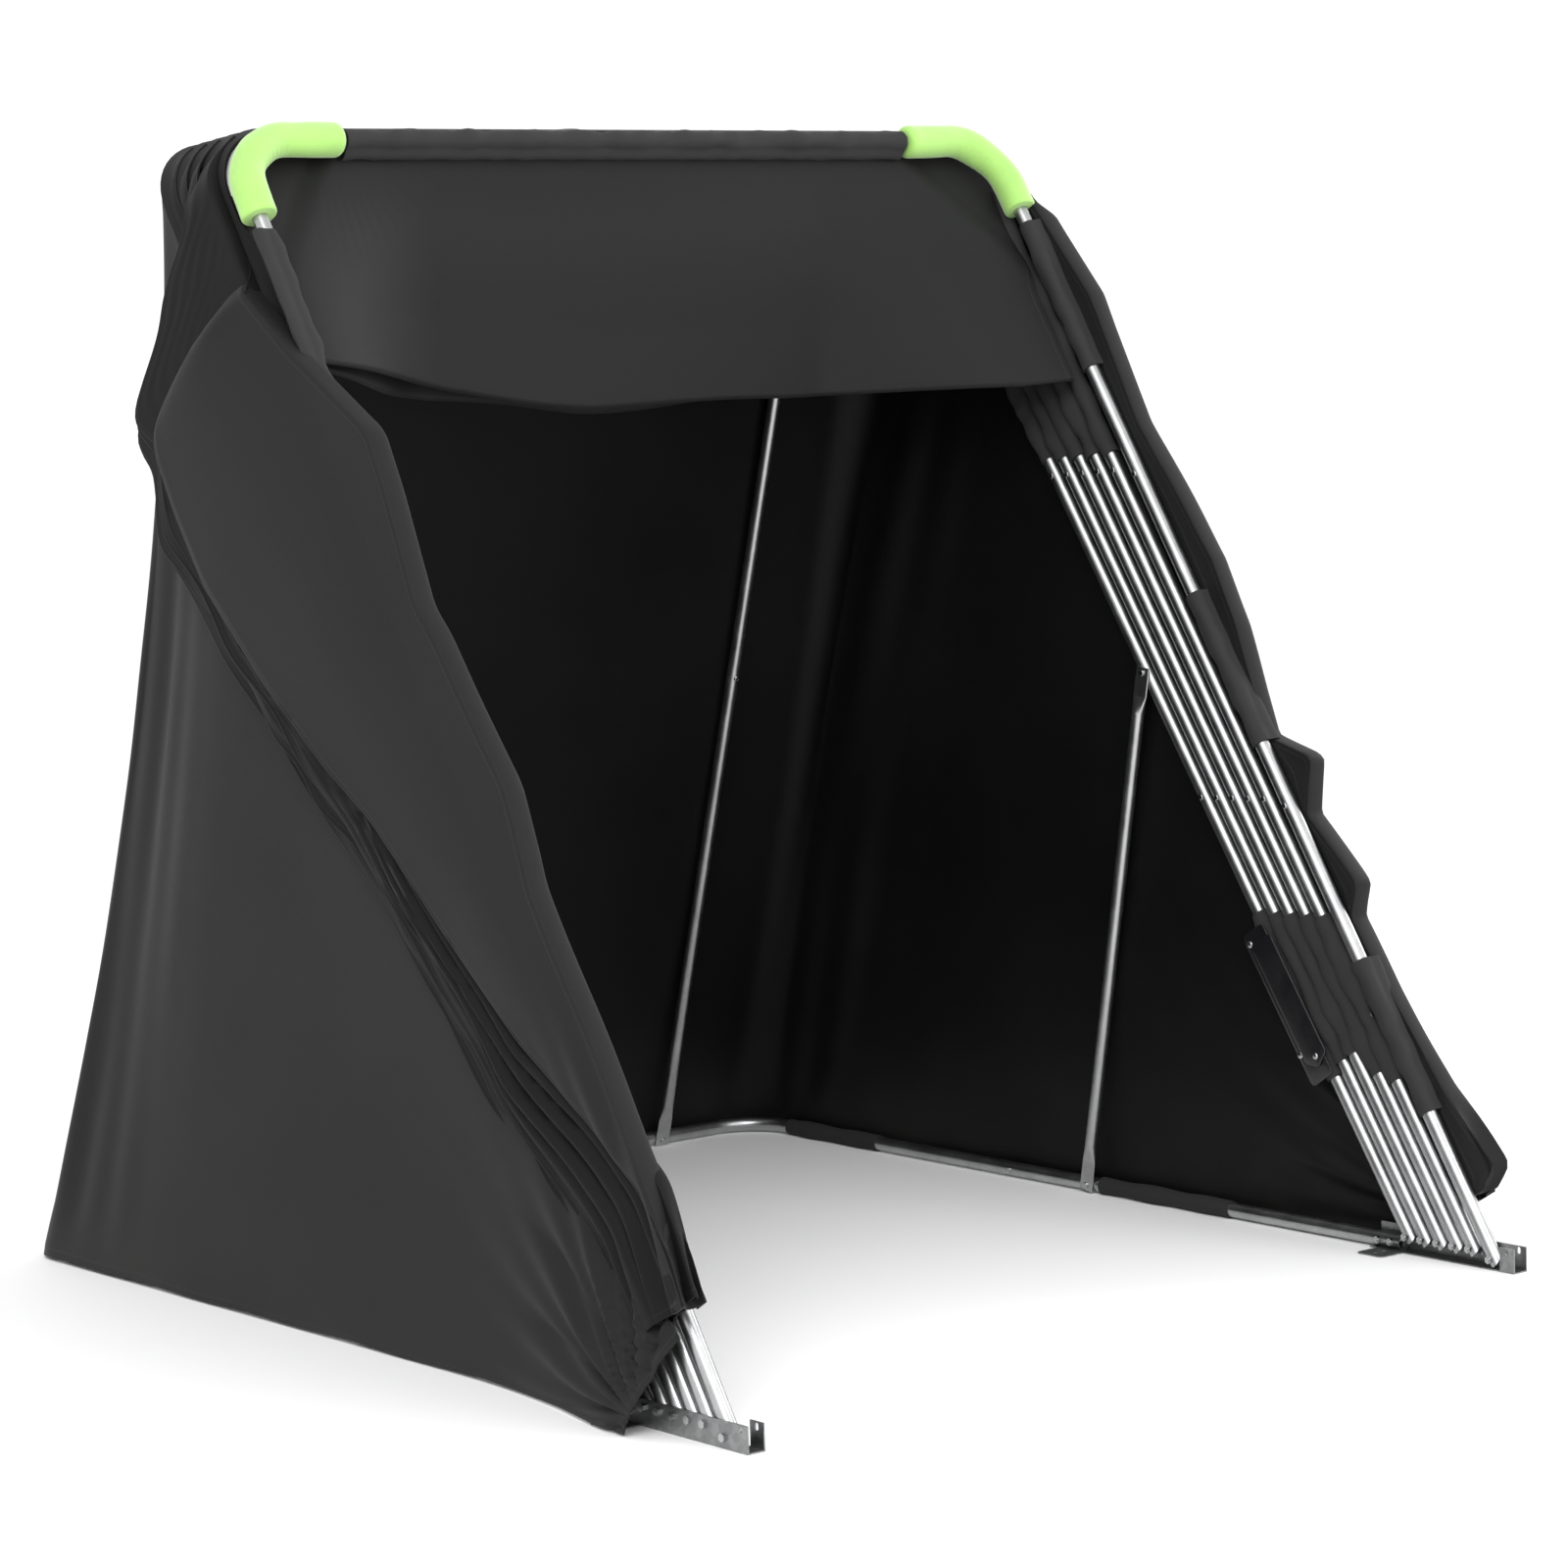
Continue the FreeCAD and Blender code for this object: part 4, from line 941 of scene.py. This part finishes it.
def plate(name, outline, thickness, to_world, material_used, rounds=0.0012):
    """A flat strap cut to an outline: rings shrink towards the middle on both faces, with a rounded edge.

    outline is (points, 2); to_world turns (first, second, height) arrays into points.
    """
    centre = outline.mean(0)
    arc = np.linspace(0, pi, 7)
    inset = np.concatenate([[1.0, 0.55, 0.2], rounds - rounds * np.sin(arc), [0.2, 0.55, 1.0]])
    lift = np.concatenate([[1, 1, 1], np.cos(arc), [-1, -1, -1]]) * thickness / 2
    way = outline - centre
    reach = np.linalg.norm(way, axis=1, keepdims=True)
    share = np.where(inset[:, None] >= 0.19, 1 - inset[:, None], 1 - inset[:, None] / reach.T)
    share = np.where(inset[:, None] >= 0.999, 0.0, share)
    flat = centre + way[None] * share[..., None]
    grid = to_world(flat[..., 0], flat[..., 1], lift[:, None] + 0 * flat[..., 0])
    return solid(name, grid, np.concatenate([flat, flat[:, :1]], 1), material_used)


def rounded(points, radius, steps=7):
    """A closed outline with every corner rounded by an arc of Bezier steps."""
    points = np.asarray(points, float)
    before, after = np.roll(points, 1, 0) - points, np.roll(points, -1, 0) - points
    b_len, a_len = np.linalg.norm(before, axis=1), np.linalg.norm(after, axis=1)
    cut = np.minimum(np.minimum(b_len, a_len) * 0.45, radius)
    a = points + before * (cut / b_len)[:, None]
    b = points + after * (cut / a_len)[:, None]
    t = np.linspace(0, 1, steps)[None, :, None]
    return ((1 - t) ** 2 * a[:, None] + 2 * t * (1 - t) * points[:, None] + t ** 2 * b[:, None]).reshape(-1, 2)


def dome(centre, way, radius, height, material_used, name):
    """A rivet's head: a quarter-ellipse profile turned round its axis, closed at its crown."""
    way = np.asarray(way, float) / np.linalg.norm(way)
    side = np.cross(way, [0.3, 0.9, 0.2])
    side = side / np.linalg.norm(side)
    other = np.cross(way, side)
    arc = column(0, pi / 2, 8)
    r = np.concatenate([[[0.0]], [[radius]], radius * np.cos(arc)])
    h = np.concatenate([[[0.0]], [[0.0]], height * np.sin(arc)])
    phi = row(0, 2 * pi, 24, endpoint=False)
    points = (np.asarray(centre) + way * h[..., None]
              + r[..., None] * (np.cos(phi)[..., None] * side + np.sin(phi)[..., None] * other))
    return solid(name, points, grid_uv(points, wrap_columns=True), material_used)


STRAP_FACE, STRAP_THICK = HALF - 0.0155, 0.0022             # where the strap lies on the sleeves, and its thickness


def build_strap():
    """Two glossy straps that lie along the rear hoops' right legs, with rivets."""
    black = material("strap_vinyl_coat", vinyl, (0.006, 0.006, 0.007, 1))
    rivet = material("rivet_zinc", zinc, (0.55, 0.56, 0.57, 1), 0.28)

    def placed(shift, bow):
        def to_world(a, b, lift):
            x = STRAP_FACE - shift - lift
            return in_hoop(1, x - bow * (1 - ((b - 0.013) / 0.03) ** 2), a, b)
        return to_world

    long = rounded([(0.258, -0.012), (0.258, 0.036), (0.506, 0.038), (0.506, -0.010)], 0.010)
    short = rounded([(0.290, -0.020), (0.276, 0.004), (0.290, 0.024), (0.485, 0.026), (0.485, -0.018)], 0.006)
    parts = [plate("strap_a", long[::-1], STRAP_THICK, placed(0.0008, 0.0010), black),
             plate("strap_b", short[::-1], STRAP_THICK, placed(0.0044, 0.0022), black)]
    main = join("tie_strap_vinyl", parts)
    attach(main, "base")
    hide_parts("tie_strap")
    spots = [(0.292, 0.000, 0.0083), (0.308, 0.030, 0.0042), (0.490, 0.029, 0.0032)]
    heads = [dome(in_hoop(1, np.array(STRAP_FACE - up), a, b), (-1, 0, 0), 0.0052, 0.0022, rivet, f"rivet_{n}")
             for n, (a, b, up) in enumerate(spots)]
    heads = join("tie_strap_rivets", heads)
    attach(heads, "base")


# ---- Steel and the stage

def build_steel(settings):
    """Gives every tube, bracket and fastener its own plated finish."""
    tube = material("tube_zinc", zinc, settings.steel_colour, 0.33)
    bracket = material("bracket_zinc", zinc, shade(settings.steel_colour, 0.62), 0.4, spangle=0.35)
    bolt = material("bolt_zinc", zinc, shade(settings.steel_colour, 1.02), 0.24)
    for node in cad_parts:
        if "bracket" in node and "bolts" not in node and "nuts" not in node:
            paint([node], bracket)
        elif any(word in node for word in ("bolts", "nuts", "screws")):
            paint([node], bolt)
        elif any(word in node for word in ("leg", "arch", "tube", "brace")):
            paint([node], tube)


def build_stage(settings):
    """A wide pale floor, a white surround, three soft lamps and the camera."""
    scene = bpy.context.scene
    paper = Finish("studio_floor", Specular_IOR_Level=0.1)
    tone = paper.noise(paper.place(), 0.8, 2.0)
    paper.use("Base Color", paper.mix(tone, (0.90, 0.90, 0.90, 1), (0.93, 0.93, 0.93, 1)))
    paper.shader.inputs["Roughness"].default_value = 0.9
    reach = np.array([-40.0, -10.0, -3.0, 3.0, 10.0, 40.0])
    points = np.stack(np.broadcast_arrays(reach[:, None], reach[None], 0.0), -1)
    i, j = quads(len(reach), len(reach))
    floor = make_object("studio_floor", points, i * len(reach) + j, grid_uv(points)[i, j], [paper.material])

    world = bpy.data.worlds.new("studio_surround")
    scene.world = world
    world.use_nodes = True
    surround = world.node_tree.nodes["Background"].inputs
    surround["Color"].default_value = (1, 1, 1, 1)
    surround["Strength"].default_value = settings.surround
    lamps = (("key", (-3.6, -3.4, 4.2), 3.2, settings.key, (0, 0, 0.7)),
             ("front", (1.2, -5.0, 2.6), 3.0, settings.key * 0.45, (0, 0.2, 0.7)),
             ("right", (4.6, -0.6, 2.4), 2.6, settings.key * 0.45, (0.3, 0.2, 0.8)))
    for name, place, size, power, target in lamps:
        lamp = bpy.data.lights.new(f"soft_{name}", "AREA")
        lamp.size = size
        lamp.energy = power
        body = bpy.data.objects.new(f"soft_{name}", lamp)
        body.location = place
        body.rotation_euler = (Vector(target) - Vector(place)).to_track_quat("-Z", "Y").to_euler()
        scene.collection.objects.link(body)

    eye = (-3.9577, -4.93615, 1.3468)
    yaw, pitch, roll = (radians(degrees) for degrees in (39.33, 5.92, 1.72))
    ahead = np.array([sin(yaw) * cos(pitch), cos(yaw) * cos(pitch), -sin(pitch)])
    right = np.array([cos(yaw), -sin(yaw), 0.0])
    down = np.cross(ahead, right)
    right, down = right * cos(roll) + down * sin(roll), down * cos(roll) - right * sin(roll)
    lens = bpy.data.cameras.new("studio_camera")
    lens.sensor_width = 36.0
    lens.lens = settings.lens
    lens.clip_end = 100
    camera = bpy.data.objects.new("studio_camera", lens)
    turn = Matrix(np.stack([right, -down, -ahead], 1).tolist()).to_4x4()
    camera.matrix_world = Matrix.Translation(eye) @ turn
    scene.collection.objects.link(camera)
    scene.camera = camera
    scene.view_settings.view_transform = "Standard"


# ---- Sizes and colours

def metres(name, description, default):
    return FloatProperty(name=name, description=description, default=default, unit="LENGTH")


def colour(name, description, *default):
    return FloatVectorProperty(name=name, description=description, size=4, subtype="COLOR", default=(*default, 1.0))


class ShelterCloth(PropertyGroup):
    cloth: metres("Cloth", "Thickness of the cover's cloth", 0.0014)
    sag: metres("Sag", "How far the fixed walls hang in", 0.009)
    dip: metres("Dip", "How far the cloth dips between hoops", 0.005)
    loop: metres("Fold radius", "Radius of the cloth's folds", 0.0045)
    hem_start: metres("Hem start", "Where the cover's hem starts, behind the front pivot", 0.132)
    pad_radius: metres("Pad radius", "Outer radius of the foam pads", 0.0245)
    cloth_colour: colour("Cloth colour", "Colour of the cover", 0.0080, 0.0080, 0.0083)
    foam_colour: colour("Foam colour", "Colour of the pads", 0.32, 0.58, 0.13)
    steel_colour: colour("Steel colour", "Colour of the zinc plating", 0.50, 0.505, 0.51)


class ShelterStudio(PropertyGroup):
    surround: FloatProperty(name="Surround", description="Strength of the white surround", default=1.12, min=0.0)
    key: FloatProperty(name="Key light", description="Power of the main lamp in watts", default=175.0, min=0.0)
    lens: FloatProperty(name="Lens", description="Focal length in millimetres", default=102.53, min=10.0)


# ---- Operators and panel

class SHELTER_OT_steel(Operator):
    """Gives tubes, brackets and fasteners their zinc finishes"""
    bl_idname = "shelter.steel"
    bl_label = "Steel finishes"

    def execute(self, context):
        build_steel(context.scene.shelter_cloth)
        return {"FINISHED"}


class SHELTER_OT_rear_cover(Operator):
    """Makes the fixed rear cover as one curved sheet"""
    bl_idname = "shelter.rear_cover"
    bl_label = "Rear cover"

    def execute(self, context):
        build_rear_cover(context.scene.shelter_cloth)
        return {"FINISHED"}


class SHELTER_OT_gusset_strips(Operator):
    """Makes the strips of cloth that open out between neighbouring hoops"""
    bl_idname = "shelter.gusset_strips"
    bl_label = "Gusset strips"

    def execute(self, context):
        for hoop in MOVING:
            build_strip(hoop, context.scene.shelter_cloth)
        return {"FINISHED"}


class SHELTER_OT_side_folds(Operator):
    """Makes the doubled cloth that hangs at both sides of each hoop"""
    bl_idname = "shelter.side_folds"
    bl_label = "Side folds"

    def execute(self, context):
        for hoop in MOVING:
            for side in (-1, 1):
                build_side_folds(hoop, side, context.scene.shelter_cloth)
        return {"FINISHED"}


class SHELTER_OT_roof_pleats(Operator):
    """Makes the pleats that hang under the roof between the bars"""
    bl_idname = "shelter.roof_pleats"
    bl_label = "Roof pleats"

    def execute(self, context):
        for hoop in MOVING:
            build_roof_pleat(hoop, context.scene.shelter_cloth)
        return {"FINISHED"}


class SHELTER_OT_sleeves(Operator):
    """Makes the sewn sleeves that hold the cover to the tubes"""
    bl_idname = "shelter.sleeves"
    bl_label = "Cloth sleeves"

    def execute(self, context):
        for hoop in (1, 2, 3, 4, 5, 6):
            build_hoop_sleeves(hoop, context.scene.shelter_cloth)
        build_ground_sleeves(context.scene.shelter_cloth)
        return {"FINISHED"}


class SHELTER_OT_pads(Operator):
    """Makes the foam pads on the front hoop's corners"""
    bl_idname = "shelter.pads"
    bl_label = "Foam pads"

    def execute(self, context):
        build_pads(context.scene.shelter_cloth)
        return {"FINISHED"}


class SHELTER_OT_strap(Operator):
    """Makes the riveted straps on the rear hoop's right leg"""
    bl_idname = "shelter.strap"
    bl_label = "Tie strap"

    def execute(self, context):
        build_strap()
        return {"FINISHED"}


class SHELTER_OT_stage(Operator):
    """Makes the floor, the lamps and the camera"""
    bl_idname = "shelter.stage"
    bl_label = "Studio"

    def execute(self, context):
        build_stage(context.scene.shelter_studio)
        return {"FINISHED"}


STEPS = (SHELTER_OT_steel, SHELTER_OT_rear_cover, SHELTER_OT_gusset_strips, SHELTER_OT_side_folds,
         SHELTER_OT_roof_pleats, SHELTER_OT_sleeves, SHELTER_OT_pads, SHELTER_OT_strap, SHELTER_OT_stage)


class SHELTER_PT_sidebar(Panel):
    """Lists the shelter's pieces and their sizes"""
    bl_idname = "SHELTER_PT_sidebar"
    bl_label = "Shelter"
    bl_space_type = "VIEW_3D"
    bl_region_type = "UI"
    bl_category = "Shelter"

    def draw(self, context):
        for group in (context.scene.shelter_cloth, context.scene.shelter_studio):
            box = self.layout.box()
            for key in group.__annotations__:
                box.prop(group, key)
        for step in STEPS:
            self.layout.operator(step.bl_idname)


CLASSES = (ShelterCloth, ShelterStudio, *STEPS, SHELTER_PT_sidebar)


def register():
    for item in CLASSES:
        bpy.utils.register_class(item)
    bpy.types.Scene.shelter_cloth = PointerProperty(type=ShelterCloth)
    bpy.types.Scene.shelter_studio = PointerProperty(type=ShelterStudio)


def unregister():
    del bpy.types.Scene.shelter_cloth
    del bpy.types.Scene.shelter_studio
    for item in reversed(CLASSES):
        bpy.utils.unregister_class(item)


def main():
    register()
    for step in STEPS:
        group, name = step.bl_idname.split(".")
        getattr(getattr(bpy.ops, group), name)()
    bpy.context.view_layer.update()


if __name__ == "__main__":
    main()
